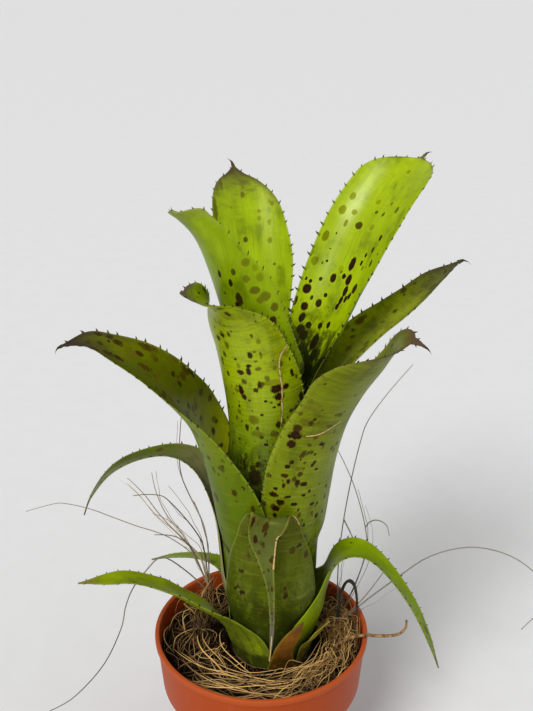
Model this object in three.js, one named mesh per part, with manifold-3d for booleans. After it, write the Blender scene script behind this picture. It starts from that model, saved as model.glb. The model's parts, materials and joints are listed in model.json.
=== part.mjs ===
// A tubular neoregelia bromeliad growing in a plastic nursery pot under a mulch of coir fibre.
// Units are millimetres, +Z is up, and the origin is the centre of the pot's underside.
import * as THREE from "three";
import { mergeVertices } from "three/addons/utils/BufferGeometryUtils.js";
import Module from "manifold-3d";

const wasm = await Module();
wasm.setup();

// ---------------------------------------------------------------- driving dimensions

const FIT = 0.3; // clearance between two pieces that touch
const TURN = 2 * Math.PI;

const POT_HEIGHT = 90;
const POT_RIM_RADIUS = 52.5; // outside of the lip
const POT_FOOT_RADIUS = 36;
const POT_WALL = 1.4;
const POT_BASE = 2;
const COLLAR_HEIGHT = 29; // wide band below the lip
const COLLAR_STEP = 3; // how far the band stands out from the body
const LIP_HEIGHT = 3.2;
const LIP_OVERHANG = 0.9;
const DRAIN_HOLES = 6;
const DRAIN_RADIUS = 3.5;
const DRAIN_CIRCLE = 23;

const SOIL_TOP = 78.4;
const SOIL_ROUGHNESS = 0.8;

const PLANT_X = 5; // the plant stands a little right of the pot's centre
const PLANT_FOOT = 80; // height where the outermost sheath grows from the stem
const STEM_RADIUS = 12;
const STEM_DEPTH = 29; // length of stem below the foot

const LEAF_THICKNESS = 0.7;
const SPINE_LENGTH = 1.9;
const SPINE_WIDTH = 1.5; // along the margin
const SPINE_THICKNESS = 0.5;
const SPINE_ROOT = 0.9; // how deep a spine's root is sunk into the margin
const SPINE_SPACING = 4; // rows of the blade that lie closer than this have no spine between them
const TIP_SHARE = 0.03; // least share of the half width at a rounded leaf's very end
const CREASE_STRETCH = 0.25; // share of the blade over which a crease grows

// Radius of the outermost sheath at every 20 mm above the foot. An inner sheath is smaller by its inset.
const TUBE_STEP = 20;
const TUBE_RADII = [19, 25, 29.5, 30.5, 32, 34, 32.5, 30, 29];
const FOOT_RISE = 1.1; // an inner sheath grows this much higher on the stem per mm of inset

// The leaves from the outermost to the innermost. The azimuth is the direction of the midrib, counted
// from +X towards +Y. The sheath wraps round the tube by the angles in wrap, from its foot to its mouth.
// Past the mouth the midrib runs through points given as [out, side, up], out and side from the tube's
// axis and up from the foot. halfWidth, roll (half the angle of the curved section), twist and shift
// (how far the section slides to one side, as a share of halfWidth) are spread evenly over the blade.
// A rounded tip takes the last roundTip of the blade and leans to one side by a share of halfWidth. A
// tongue, [half width, length, power], runs on from it, blunt where its power is below 1. A crease bends
// the blade beyond the place t by a turn in degrees, and grows over the stretch past its start.
const LEAVES = [
  {
    name: "leaf_lower_left",
    azimuth: 225,
    inset: 0,
    mouth: 10,
    wrap: [70, 45],
    midrib: [[24, -2, 18], [30, -6, 28], [39, -13, 37], [49, -22, 46], [61, -36, 51], [75.5, -52, 48]],
    halfWidth: [12, 11.5, 9.5, 7, 4.2, 0.3],
    roll: [35, 30, 30, 25, 20, 20],
    shift: [0, -0.15, -0.2, -0.15, 0, 0],
    rows: 9,
    columns: 6,
  },
  {
    name: "leaf_lower_right",
    azimuth: 352,
    inset: 1.5,
    mouth: 26,
    wrap: [80, 60],
    midrib: [[27, 0, 38], [30.5, 0, 50], [36.5, 0, 57], [45, 0, 57], [55, 0, 48], [67, 0, 31],
      [77, 0, 10], [83, 0, -6]],
    halfWidth: [12, 10, 7.5, 6.5, 6, 5.5, 4, 0.3],
    roll: [34, 34, 35, 35, 30, 30, 25, 20],
    rows: 12,
    columns: 7,
  },
  {
    name: "leaf_lower_back",
    azimuth: 150,
    inset: 3,
    mouth: 14,
    wrap: [70, 40],
    midrib: [[23, 0, 30], [30, 0, 37], [43, 0, 36.5], [59, 0, 31], [72, 0, 24.5]],
    halfWidth: [9, 4.5, 3, 2.3, 0.3],
    roll: [35, 30, 25, 25, 20],
    rows: 8,
    columns: 6,
  },
  {
    name: "leaf_folded_front",
    azimuth: 268,
    inset: 4.5,
    mouth: 84,
    wrap: [58, 58, 55, 46, 30],
    midrib: [[29.5, 0, 91], [33, 0, 93], [35.5, -2.6, 87], [34.5, -1.3, 74], [34, 0.8, 56],
      [34.5, 1.3, 36], [35, 0.2, 18]],
    halfWidth: [8.5, 5.4, 3.1, 1.9, 1.3, 0.9, 0.3],
    roll: [22, 25, 40, 50, 50, 50, 40],
    rows: 14,
    columns: 6,
  },
  {
    name: "leaf_arching_left",
    azimuth: 158,
    inset: 6,
    mouth: 50,
    wrap: [85, 70, 42],
    midrib: [[28, 0, 74], [36.5, 0, 92], [50, 0, 97], [68, 0, 91.5], [85.5, 0, 79.5], [98.5, 0, 62.5],
      [104, 0, 50]],
    halfWidth: [13, 10, 7, 6, 5.5, 3.5, 0.3],
    roll: [42, 38, 35, 30, 30, 25, 20],
    twist: [0, 0, 0, -4, -12, -20, -20],
    shift: [-0.05, -0.08, -0.05, 0, 0, 0, 0],
    rows: 12,
    columns: 7,
  },
  {
    name: "leaf_outer_left",
    azimuth: 188,
    inset: 7.5,
    mouth: 64,
    wrap: [100, 95, 82],
    midrib: [[25.5, 0, 76], [28, 0, 92], [32, 0, 110], [38, 0, 129], [46, 0, 143], [56, 0, 154],
      [69, 0, 163], [79, 0, 168], [91, 0, 166]],
    halfWidth: [33, 32, 30, 25.5, 19.2, 15, 11.4, 6.6, 0.3],
    roll: [76, 70, 64, 55, 48, 42, 38, 30, 20],
    twist: [0, 0, 0, -4, -16, -24, -24, -20, -15],
    shift: [0.08, 0.08, 0, -0.02, 0.03, 0.06, 0.1, 0.1, 0],
    rows: 13,
    columns: 9,
  },
  {
    name: "leaf_outer_right",
    azimuth: 322,
    inset: 9,
    mouth: 64,
    wrap: [105, 100, 84],
    midrib: [[25.5, 0, 76], [28, 0, 93], [31, 0, 112], [36.5, 0, 131], [45, 0, 148], [55.5, 0, 164],
      [65, 0, 178.5], [73, 0, 177]],
    halfWidth: [30, 29.5, 28.5, 26.3, 23.8, 23.5, 20.5, 14],
    roll: [84, 80, 74, 70, 64, 58, 50, 40],
    twist: [0, 0, 0, 0, 2, 8, 16, 22],
    shift: [0, -0.02, -0.05, -0.06, -0.11, -0.25, -0.32, -0.15],
    roundTip: 0.12,
    tongue: [2.5, 7, 1.0],
    lean: 0.4,
    rows: 12,
    columns: 9,
  },
  {
    name: "leaf_front_left",
    azimuth: 240,
    inset: 14,
    mouth: 118,
    wrap: [105, 100, 82],
    midrib: [[20, -1, 140], [23, -3, 160], [28, -6, 178], [34, -9, 188.5], [41, -12, 193.5],
      [47, -15, 198]],
    halfWidth: [27, 27, 24.2, 20.5, 11, 9],
    roll: [81, 78, 72, 58, 50, 45],
    twist: [0, 0, 0, -5, -25, -38],
    shift: [0, 0, -0.02, -0.04, 0, 0.1],
    roundTip: 0.1,
    tongue: [3, 3, 0.5],
    rows: 11,
    columns: 9,
  },
  {
    name: "leaf_back_right",
    azimuth: 25,
    inset: 15.6,
    mouth: 100,
    wrap: [140, 115, 54],
    midrib: [[20, 0, 116], [26, 0, 134], [36, 0, 147], [50, 0, 158], [62, 0, 165], [73, 0, 172],
      [84, 0, 180], [97, 0, 187]],
    halfWidth: [18, 18, 17, 15.3, 13.3, 10.6, 7, 0.3],
    roll: [56, 54, 50, 45, 40, 35, 30, 20],
    shift: [0, 0, -0.02, -0.05, -0.05, -0.03, 0, 0],
    rows: 13,
    columns: 8,
  },
  {
    name: "leaf_inner_back",
    azimuth: 107,
    inset: 17.2,
    mouth: 116,
    wrap: [140, 120, 60],
    midrib: [[20.5, 0, 134], [29, 0, 152], [40, -0.5, 180], [53, -2, 205], [70, -3.5, 226]],
    halfWidth: [16, 17.8, 19.3, 17.7, 15.5],
    roll: [56, 52, 46, 40, 35],
    shift: [0, -0.06, -0.18, -0.07, 0.08],
    roundTip: 0.2,
    tongue: [5, 6, 1.4],
    rows: 11,
    columns: 9,
  },
  {
    name: "leaf_inner_right",
    azimuth: 35,
    inset: 18.8,
    mouth: 126,
    wrap: [140, 125, 68],
    midrib: [[19.5, 0, 142], [30, 0, 159], [45, 0, 186], [57, 0, 207], [72, 0, 224], [83.5, 0, 235]],
    halfWidth: [18, 21.5, 23.6, 23.9, 22.8, 20.6],
    roll: [64, 60, 56, 54, 52, 45],
    shift: [0, 0, 0.01, 0, -0.01, -0.01],
    roundTip: 0.14,
    tongue: [3, 4, 1.5],
    lean: -0.05,
    crease: { place: -0.45, turn: 14, start: 0.45 },
    rows: 11,
    columns: 9,
  },
  {
    name: "leaf_innermost",
    azimuth: 205,
    inset: 21,
    mouth: 130,
    wrap: [150, 155, 155],
    midrib: [[15, 0, 150], [20, 0, 172], [26, 0, 195], [31, 0, 211], [36.8, 0, 221.8], [41.3, 0, 226.8]],
    halfWidth: [34, 32, 28, 24, 17.6, 11],
    roll: [128, 104, 85, 72, 60, 40],
    twist: [0, 0, 0, 3, 14, 38],
    shift: [0, 0, 0.07, 0.1, -0.14, -0.3],
    roundTip: 0.04,
    tongue: [1.5, 2, 1],
    rows: 11,
    columns: 10,
  },
];

// What is left of two old leaves at the foot of the tube, as leaves without spines.
const OLD_LEAVES = [
  {
    name: "dried_sheath",
    azimuth: 283,
    inset: -1.6,
    foot: -0.9,
    mouth: 12,
    wrap: [20, 12],
    midrib: [[26.8, 1, 19], [28.8, 4.5, 27], [30, 8, 34]],
    halfWidth: [4.5, 3.5, 0.5],
    roll: [14, 12, 8],
    rows: 6,
    columns: 4,
  },
  {
    name: "old_sheath",
    azimuth: 329,
    inset: -0.2,
    foot: 0.2,
    mouth: 12,
    wrap: [22, 22],
    midrib: [[26, 0, 16], [28.5, 1, 21], [31.5, 1, 25]],
    halfWidth: [8, 6, 0.5],
    roll: [20, 16, 10],
    rows: 6,
    columns: 4,
  },
];

const MULCH_BOTTOM = SOIL_TOP + 1.3;
const MULCH_TOP = MULCH_BOTTOM + 2.5; // of the matted bed; the strands stand out above it
const MULCH_INNER = 22.6; // radius about the plant that the bed leaves free
const MULCH_OUTER = 48.6; // radius about the pot's centre
const NEST_INNER = 25;
const NEST_OUTER = 47.8;
const NEST_STRANDS = 23;
const STANDING_STRANDS = 7;
const STRAND_RADIUS = 0.5;
const WHISKER_RADIUS = 0.42;

// The lumps of matted fibre that stand on the bed, as rings of [x, y, z, radius].
const TUFT_LUMP = [[-30, 2, 82.6, 5], [-29.5, 2, 90, 4.5], [-28, 2.5, 98, 3.5], [-27, 3.5, 106, 3],
  [-26, 5, 113, 2]];
const TANGLE_LUMP = [[39, 13, 82.6, 6], [39.5, 13.5, 84.6, 6.4], [40, 14, 86.6, 4.5], [40, 14, 88.4, 2]];
const TUFT_FIBRES = 9;
const TUFT_FIBRE_REACH = 4; // how far a short fibre stands out of the lump

// Routes of the long fibres, as [x, y, z]. Each starts inside the tuft or tangle that it grows from.
const TUFT_WHISKERS = [
  [[-26, 5, 110], [-34, 9, 127], [-45, 12, 134], [-54, 14, 137], [-68, 17, 140], [-79, 18, 145],
    [-95, 19, 149], [-103, 20, 148], [-116, 20, 144]],
  [[-26, 5, 110], [-29, 8, 124], [-37, 12, 132], [-48, 15, 143], [-57, 18, 155], [-65, 20, 163]],
  [[-26, 5, 110], [-28, 9, 130], [-33, 11, 140], [-41, 13, 150], [-49, 14, 157], [-62, 15, 156]],
  [[-26, 5, 110], [-37, 12, 133], [-46, 16, 144], [-51, 18, 156], [-53, 20, 166]],
  [[-26, 5, 110], [-26, 12, 125], [-29, 24, 134], [-35, 32, 143], [-40, 36, 154], [-41, 37, 168],
    [-39, 37, 190]],
  [[-26, 5, 110], [-34, 8, 130], [-42, 10, 136], [-52, 10, 137]],
  [[-26, 4, 108], [-36, 1, 122], [-47, -3, 133], [-55, -6, 127], [-61, -8, 119], [-65, -9, 109],
    [-68, -10, 96], [-78, -10, 74], [-94, -10, 54], [-107, -10, 45]],
];
const TANGLE_WHISKERS = [
  [[39, 15, 85], [39, 22, 101], [40, 25, 122], [43, 25, 150], [48, 25, 180], [54, 25, 197], [71, 25, 221]],
  [[40, 15, 85], [47, 20, 98], [53, 24, 117], [52, 25, 133], [45, 25, 158], [37, 25, 176]],
  [[41.4, 25, 136], [45, 23, 129], [49, 21, 119]],
  [[52.2, 25, 131], [54, 24, 135], [58, 23, 137], [62.5, 22, 134.5], [64, 21, 129]],
  [[41, 11, 85], [46, 8, 93], [54, 6, 103], [64, 5, 113], [81, 3, 129], [100, 1, 136], [119, 0, 132],
    [133, -3, 122], [137, -7, 110], [126, -10, 96]],
  [[40, 11, 85], [46, 7.5, 95], [52, 6.5, 104], [60, 6, 118]],
];

const STUB_ROUTE = [[37.5, 6, 83.4], [39, 6.5, 98], [40.5, 7, 108], [43, 7, 112], [45.8, 7, 110],
  [47.4, 6.5, 103], [47.8, 5, 92]];
const ROOT_ROUTE = [[36, -8, 84.4], [44, -9, 90.4], [51, -9.5, 92.3], [58, -10, 92.2], [66, -10, 93],
  [70, -9, 96], [70.5, -8, 100]];
const STUB_WIDTH = 2.3;
const STUB_THICKNESS = 0.9;
const ROOT_THICKNESS = 1.8;

// ---------------------------------------------------------------- shared geometry

// A closed geometry as a solid: only its positions are kept, and faces that merging flattens are dropped.
function solidOf(geometry) {
  const bare = new THREE.BufferGeometry();
  bare.setAttribute("position", geometry.getAttribute("position"));
  bare.setIndex(geometry.getIndex());
  const merged = mergeVertices(bare, 1e-4);
  const corners = merged.getIndex().array;
  const kept = [];
  for (let i = 0; i < corners.length; i += 3) {
    const [a, b, c] = [corners[i], corners[i + 1], corners[i + 2]];
    if (a !== b && b !== c && c !== a) kept.push(a, b, c);
  }
  return new wasm.Manifold(
    new wasm.Mesh({
      numProp: 3,
      vertProperties: new Float32Array(merged.getAttribute("position").array),
      triVerts: new Uint32Array(kept),
    }),
  );
}

function geometryOf(solid) {
  const mesh = solid.getMesh();
  const positions = new Float32Array(mesh.numVert * 3);
  for (let i = 0; i < mesh.numVert; i += 1) {
    positions.set(mesh.vertProperties.subarray(i * mesh.numProp, i * mesh.numProp + 3), i * 3);
  }
  const geometry = new THREE.BufferGeometry();
  geometry.setAttribute("position", new THREE.BufferAttribute(positions, 3));
  geometry.setIndex(new THREE.BufferAttribute(mesh.triVerts, 1));
  geometry.computeVertexNormals();
  return geometry;
}

// A closed geometry of loose corner points and the triangles between them.
function geometryFrom(points, triangles) {
  const geometry = new THREE.BufferGeometry();
  geometry.setAttribute("position", new THREE.Float32BufferAttribute(points.flat(), 3));
  geometry.setIndex(triangles);
  return geometry;
}

// A smooth curve through evenly spread values, at the share u of its length.
function along(values, u) {
  const last = values.length - 1;
  const place = Math.min(Math.max(u, 0), 1) * last;
  const i = Math.min(Math.floor(place), last - 1);
  const f = place - i;
  const [a, b, c, d] = [values[Math.max(i - 1, 0)], values[i], values[i + 1], values[Math.min(i + 2, last)]];
  const leaving = (c - a) / 2;
  const arriving = (d - b) / 2;
  return (
    (2 * b - 2 * c + leaving + arriving) * f ** 3 +
    (3 * c - 3 * b - 2 * leaving - arriving) * f ** 2 +
    leaving * f +
    b
  );
}

// Seeded random numbers from 0 to 1.
function randomFrom(seed) {
  let state = seed;
  return () => {
    state = (state * 1664525 + 1013904223) % 4294967296;
    return state / 4294967296;
  };
}

// A closed body through rings of corners that follow each other, with a flat cap on both ends.
function ringBody(points, sides) {
  const end = points.length - sides;
  const triangles = [];
  for (let ring = 0; ring < end; ring += sides) {
    for (let j = 0; j < sides; j += 1) {
      const [a, b] = [ring + j, ring + ((j + 1) % sides)];
      triangles.push(a, b, b + sides, a, b + sides, a + sides);
    }
  }
  for (let j = 1; j < sides - 1; j += 1) triangles.push(0, j + 1, j, end, end + j, end + j + 1);
  return solidOf(geometryFrom(points, triangles));
}

// A strand swept along a smooth route, flat when its height is below its width, and thinner at its end.
function strand(route, width, height, segments, sides, endShare) {
  const curve = new THREE.CatmullRomCurve3(route.map((place) => new THREE.Vector3(...place)));
  const frames = curve.computeFrenetFrames(segments, false);
  const points = [];
  for (let i = 0; i <= segments; i += 1) {
    const middle = curve.getPointAt(i / segments);
    const share = 1 + ((endShare - 1) * i) / segments;
    for (let j = 0; j < sides; j += 1) {
      const angle = (TURN * j) / sides;
      const place = middle.clone();
      place.addScaledVector(frames.normals[i], (height / 2) * share * Math.cos(angle));
      place.addScaledVector(frames.binormals[i], (width / 2) * share * Math.sin(angle));
      points.push(place.toArray());
    }
  }
  return ringBody(points, sides);
}

const part = new THREE.Group();

function addPiece(name, geometry, look) {
  const mesh = new THREE.Mesh(geometry, new THREE.MeshStandardMaterial(look));
  mesh.name = name;
  part.add(mesh);
}

// ---------------------------------------------------------------- pot

const TERRACOTTA = { color: 0xa84a24, roughness: 0.45, metalness: 0 };

const collarBottom = POT_HEIGHT - COLLAR_HEIGHT;
const collarTopRadius = POT_RIM_RADIUS - LIP_OVERHANG;
const collarBottomRadius = collarTopRadius - 2.2;
const bodyTopRadius = collarBottomRadius - COLLAR_STEP;

// Inner radius of the pot at a height.
function potInside(z) {
  const wallShare = Math.min(z / collarBottom, 1);
  const body = POT_FOOT_RADIUS + (bodyTopRadius - POT_FOOT_RADIUS) * wallShare;
  if (z <= collarBottom) return body - POT_WALL;
  const collarShare = (z - collarBottom) / COLLAR_HEIGHT;
  return collarBottomRadius + (collarTopRadius - collarBottomRadius) * collarShare - POT_WALL;
}

function makePot() {
  const outline = [
    [0, 0],
    [POT_FOOT_RADIUS - 1.5, 0],
    [POT_FOOT_RADIUS, 1.5],
    [bodyTopRadius, collarBottom - 1.5],
    [collarBottomRadius - 0.4, collarBottom - 0.4],
    [collarBottomRadius, collarBottom + 1],
    [collarTopRadius - 0.2, POT_HEIGHT - LIP_HEIGHT - 0.6],
    [POT_RIM_RADIUS, POT_HEIGHT - LIP_HEIGHT],
    [POT_RIM_RADIUS, POT_HEIGHT - 0.9],
    [POT_RIM_RADIUS - 0.9, POT_HEIGHT],
    [potInside(POT_HEIGHT) + 0.5, POT_HEIGHT],
    [potInside(POT_HEIGHT), POT_HEIGHT - 0.7],
    [potInside(collarBottom + 0.01), collarBottom + 1.5],
    [potInside(collarBottom), collarBottom - 1],
    [potInside(POT_BASE), POT_BASE],
    [0, POT_BASE],
  ];
  const shell = new THREE.LatheGeometry(outline.map(([r, z]) => new THREE.Vector2(r, z)), 32);
  shell.rotateX(Math.PI / 2);
  let pot = solidOf(shell);
  for (let i = 0; i < DRAIN_HOLES; i += 1) {
    const angle = (TURN * i) / DRAIN_HOLES;
    const hole = new THREE.CylinderGeometry(DRAIN_RADIUS, DRAIN_RADIUS, 3 * POT_BASE, 10);
    hole.rotateX(Math.PI / 2);
    hole.translate(DRAIN_CIRCLE * Math.cos(angle), DRAIN_CIRCLE * Math.sin(angle), POT_BASE / 2);
    pot = pot.subtract(solidOf(hole));
  }
  return geometryOf(pot);
}

addPiece("pot", makePot(), TERRACOTTA);

// ---------------------------------------------------------------- potting mix

const EARTH = { color: 0x2a1d15, roughness: 0.95, metalness: 0 };

// Uneven top of the potting mix: slow waves that die out at the pot's wall.
function soilTop(x, y) {
  const wave = Math.sin(x * 0.21 + 0.6) * Math.cos(y * 0.17 - 0.4) + 0.6 * Math.sin(x * 0.08 - y * 0.25);
  return SOIL_TOP + SOIL_ROUGHNESS * wave * Math.min(1, (48 - Math.hypot(x, y)) / 12);
}

function makeSoil() {
  const wall = (z) => potInside(z) - FIT;
  const outline = [
    [0, POT_BASE + FIT],
    [wall(POT_BASE + FIT), POT_BASE + FIT],
    [wall(collarBottom - 1) - 0.2, collarBottom - 1.2],
    [wall(collarBottom + 1.8) - 0.2, collarBottom + 1.8],
    [wall(SOIL_TOP), SOIL_TOP],
    [42, SOIL_TOP],
    [34, SOIL_TOP],
    [26, SOIL_TOP],
    [0, SOIL_TOP],
  ];
  const body = new THREE.LatheGeometry(outline.map(([r, z]) => new THREE.Vector2(r, z)), 28);
  body.rotateX(Math.PI / 2);
  const places = body.getAttribute("position");
  for (let i = 0; i < places.count; i += 1) {
    const [x, y, z] = [places.getX(i), places.getY(i), places.getZ(i)];
    const radius = Math.hypot(x, y);
    if (Math.abs(z - SOIL_TOP) < 0.01 && radius > 30 && radius < 43) places.setZ(i, soilTop(x, y));
  }
  const holeRadius = STEM_RADIUS + FIT;
  const hole = new THREE.CylinderGeometry(holeRadius, holeRadius, STEM_DEPTH + 20, 24);
  hole.rotateX(Math.PI / 2);
  hole.translate(PLANT_X, 0, PLANT_FOOT - STEM_DEPTH - FIT + (STEM_DEPTH + 20) / 2);
  return geometryOf(solidOf(body).subtract(solidOf(hole)));
}

addPiece("potting_mix", makeSoil(), EARTH);

// ---------------------------------------------------------------- stem

const tubeTop = TUBE_STEP * (TUBE_RADII.length - 1);

function sheathRadius(height, inset) {
  return along(TUBE_RADII, height / tubeTop) - inset;
}

function footHeight(leaf) {
  return leaf.foot ?? FOOT_RISE * leaf.inset;
}

// The stem tapers inside the tube, so that each sheath stands on it with its foot.
function makeStem() {
  const deepest = LEAVES[LEAVES.length - 1];
  const profile = [[0, -STEM_DEPTH], [STEM_RADIUS - 1, -STEM_DEPTH], [STEM_RADIUS, 1 - STEM_DEPTH]];
  profile.push([STEM_RADIUS, -1.3]);
  profile.push([sheathRadius(0, 0) + 0.3, -1.3]);
  for (let i = 1; i <= 6; i += 1) {
    const inset = (deepest.inset * i) / 6;
    const height = FOOT_RISE * inset;
    profile.push([sheathRadius(height, inset), height - 1]);
  }
  profile.push([0, footHeight(deepest) + 1]);
  const stem = new THREE.LatheGeometry(profile.map(([r, z]) => new THREE.Vector2(r, z)), 18);
  stem.rotateX(Math.PI / 2);
  stem.translate(PLANT_X, 0, PLANT_FOOT);
  return geometryOf(solidOf(stem));
}

addPiece("stem", makeStem(), { color: 0x6b5a3a, roughness: 0.9, metalness: 0 });

// ---------------------------------------------------------------- leaves

const FRAME_BLEND = 12; // length over which the section turns from the tube's frame to the blade's

// The midrib past the mouth in the leaf's own frame: its length, and its place at a share of it.
function bladeCurve(leaf) {
  const before = leaf.mouth - FRAME_BLEND;
  const route = [
    [sheathRadius(before, leaf.inset), 0, before],
    [sheathRadius(leaf.mouth, leaf.inset), 0, leaf.mouth],
    ...leaf.midrib,
  ];
  const axes = [0, 1, 2].map((axis) => route.map((point) => point[axis]));
  const first = 1 / (route.length - 1);
  const fine = [];
  for (let i = 0; i <= 400; i += 1) {
    const u = first + ((1 - first) * i) / 400;
    fine.push(new THREE.Vector3(...axes.map((values) => along(values, u))));
  }
  const reached = [0];
  for (let i = 1; i < fine.length; i += 1) reached.push(reached[i - 1] + fine[i].distanceTo(fine[i - 1]));
  const length = reached[reached.length - 1];
  const at = (u) => {
    const goal = Math.min(Math.max(u, 0), 1) * length;
    let i = 1;
    while (i < reached.length - 1 && reached[i] < goal) i += 1;
    const share = (goal - reached[i - 1]) / (reached[i] - reached[i - 1]);
    return new THREE.Vector3().lerpVectors(fine[i - 1], fine[i], share);
  };
  return { length, at };
}

// Share of the half width that is left at s near a rounded tip, and on the tongue that runs on from it.
function tipShare(leaf, s, half, length) {
  if (!leaf.roundTip) return 1;
  const [tongueHalf, tongueLength, power] = leaf.tongue;
  const tongue = tongueLength / length;
  const left = THREE.MathUtils.clamp((1 - s - 0.8 * tongue) / leaf.roundTip, 0, 1);
  const point = (tongueHalf / half) * THREE.MathUtils.clamp((1 - s) / tongue, 0, 1) ** power;
  return Math.max(Math.sqrt(1 - (1 - left) ** 2), Math.min(point, 1), TIP_SHARE);
}

// The leaf's middle surface as a function point(s, t), with t from -1 to 1 across the leaf. s below 0
// lies in the sheath, from -1 at the foot, and s above 0 in the blade, to 1 at the tip.
function leafSurface(leaf) {
  const curve = bladeCurve(leaf);
  const foot = footHeight(leaf);
  const mouthRadius = sheathRadius(leaf.mouth, leaf.inset);
  const mouthRoll = leaf.wrap[leaf.wrap.length - 1];
  const mouthHalf = THREE.MathUtils.degToRad(mouthRoll) * mouthRadius;
  const up = new THREE.Vector3(0, 0, 1);

  const sheathSection = (s) => {
    const height = foot + (leaf.mouth - foot) * (s + 1);
    const radius = sheathRadius(height, leaf.inset);
    const roll = THREE.MathUtils.degToRad(along(leaf.wrap, s + 1));
    return {
      middle: new THREE.Vector3(radius, 0, height),
      across: new THREE.Vector3(0, 1, 0),
      inward: new THREE.Vector3(-1, 0, 0),
      radius,
      roll,
      shift: 0,
      share: 1,
    };
  };

  const bladeSection = (s) => {
    const step = 0.008;
    const ahead = curve.at(s + step).sub(curve.at(s - step)).normalize();
    const blend = Math.min(1, (s * curve.length) / FRAME_BLEND);
    const forward = up.clone().lerp(ahead, blend).normalize();
    const across = new THREE.Vector3(0, 1, 0).addScaledVector(forward, -forward.y).normalize();
    const inward = new THREE.Vector3().crossVectors(forward, across);
    const twist = THREE.MathUtils.degToRad(along([0, ...(leaf.twist ?? [0])], s));
    across.applyAxisAngle(forward, twist);
    inward.applyAxisAngle(forward, twist);
    const roll = THREE.MathUtils.degToRad(along([mouthRoll, ...leaf.roll], s));
    const half = along([mouthHalf, ...leaf.halfWidth], s);
    const shift = along([0, ...(leaf.shift ?? [0])], s);
    const share = tipShare(leaf, s, half, curve.length);
    return { middle: curve.at(s), across, inward, radius: half / roll, roll, shift, share };
  };

  // Where a section has come to at a place across it: outwards along its arc, and turned past the crease.
  const sectionOffset = (section, s, place) => {
    const arc = (at) => new THREE.Vector2(Math.sin(section.roll * at), 1 - Math.cos(section.roll * at));
    const offset = arc(place);
    if (leaf.crease && place < leaf.crease.place && s > leaf.crease.start) {
      const grown = Math.min((s - leaf.crease.start) / CREASE_STRETCH, 1);
      offset.rotateAround(arc(leaf.crease.place), THREE.MathUtils.degToRad(leaf.crease.turn) * grown);
    }
    return offset.multiplyScalar(section.radius);
  };

  const turn = new THREE.Matrix4().makeRotationZ(THREE.MathUtils.degToRad(leaf.azimuth));
  turn.setPosition(PLANT_X, 0, PLANT_FOOT);
  const point = (s, t) => {
    const section = s < 0 ? sheathSection(s) : bladeSection(s);
    const place = section.shift + (leaf.lean ?? 0) * (1 - section.share) + section.share * t;
    const offset = sectionOffset(section, s, place);
    return section.middle
      .clone()
      .addScaledVector(section.across, offset.x)
      .addScaledVector(section.inward, offset.y)
      .applyMatrix4(turn);
  };
  return point;
}

// Rows of the leaf from its foot to its tip: one at each step of the tube, and closer ones in the blade.
function leafRows(leaf) {
  const foot = footHeight(leaf);
  const places = [-1];
  for (let height = TUBE_STEP; height < leaf.mouth - 2; height += TUBE_STEP) {
    if (height > foot + 2) places.push((height - foot) / (leaf.mouth - foot) - 1);
  }
  for (let i = 0; i <= leaf.rows; i += 1) places.push(1 - (1 - i / leaf.rows) ** 1.15);
  if (leaf.roundTip) {
    const tongue = leaf.tongue[1] / bladeCurve(leaf).length;
    for (const left of [1, 0.5, 0.12]) places.push(1 - 0.8 * tongue - left * leaf.roundTip);
    places.push(1 - 0.7 * tongue);
    places.sort((a, b) => a - b);
  }
  return places.filter((s, i) => i === 0 || s === 1 || s - places[i - 1] > 0.008);
}

// The leaf as one closed blade: the middle surface moved half the thickness to each side, split into
// triangles alike on both faces, with the diagonals of each half running up towards the midrib.
function leafBlade(leaf, point) {
  const places = leafRows(leaf);
  const columns = leaf.columns;
  const points = [];
  const step = 0.002;
  for (const side of [-1, 1]) {
    for (const s of places) {
      for (let j = 0; j <= columns; j += 1) {
        const t = (2 * j) / columns - 1;
        const low = s < 0 ? Math.max(s - step, -1) : Math.max(s - step, 0);
        const high = s < 0 ? Math.min(s + step, -1e-6) : Math.min(s + step, 1);
        const rise = point(high, t).sub(point(low, t));
        const reach = point(s, Math.min(t + 0.01, 1)).sub(point(s, Math.max(t - 0.01, -1)));
        const normal = rise.cross(reach).normalize();
        points.push(point(s, t).addScaledVector(normal, (side * LEAF_THICKNESS) / 2).toArray());
      }
    }
  }
  const width = columns + 1;
  const faceSize = places.length * width;
  const triangles = [];
  const quad = (a, b, c, d) => triangles.push(a, b, c, a, c, d);
  for (let i = 0; i < places.length - 1; i += 1) {
    for (let j = 0; j < columns; j += 1) {
      const cell = [i * width + j, i * width + j + 1, (i + 1) * width + j + 1, (i + 1) * width + j];
      if (j < columns / 2) cell.push(cell.shift());
      const [a, b, c, d] = cell;
      triangles.push(a, b, c, a, c, d);
      triangles.push(a + faceSize, c + faceSize, b + faceSize, a + faceSize, d + faceSize, c + faceSize);
    }
    const [left, leftNext] = [i * width, (i + 1) * width];
    const [right, rightNext] = [left + columns, leftNext + columns];
    quad(left, leftNext, leftNext + faceSize, left + faceSize);
    quad(right, right + faceSize, rightNext + faceSize, rightNext);
  }
  const tip = (places.length - 1) * width;
  for (let j = 0; j < columns; j += 1) {
    quad(j, j + faceSize, j + 1 + faceSize, j + 1);
    quad(tip + j, tip + j + 1, tip + j + 1 + faceSize, tip + j + faceSize);
  }
  return solidOf(geometryFrom(points, triangles));
}

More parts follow.
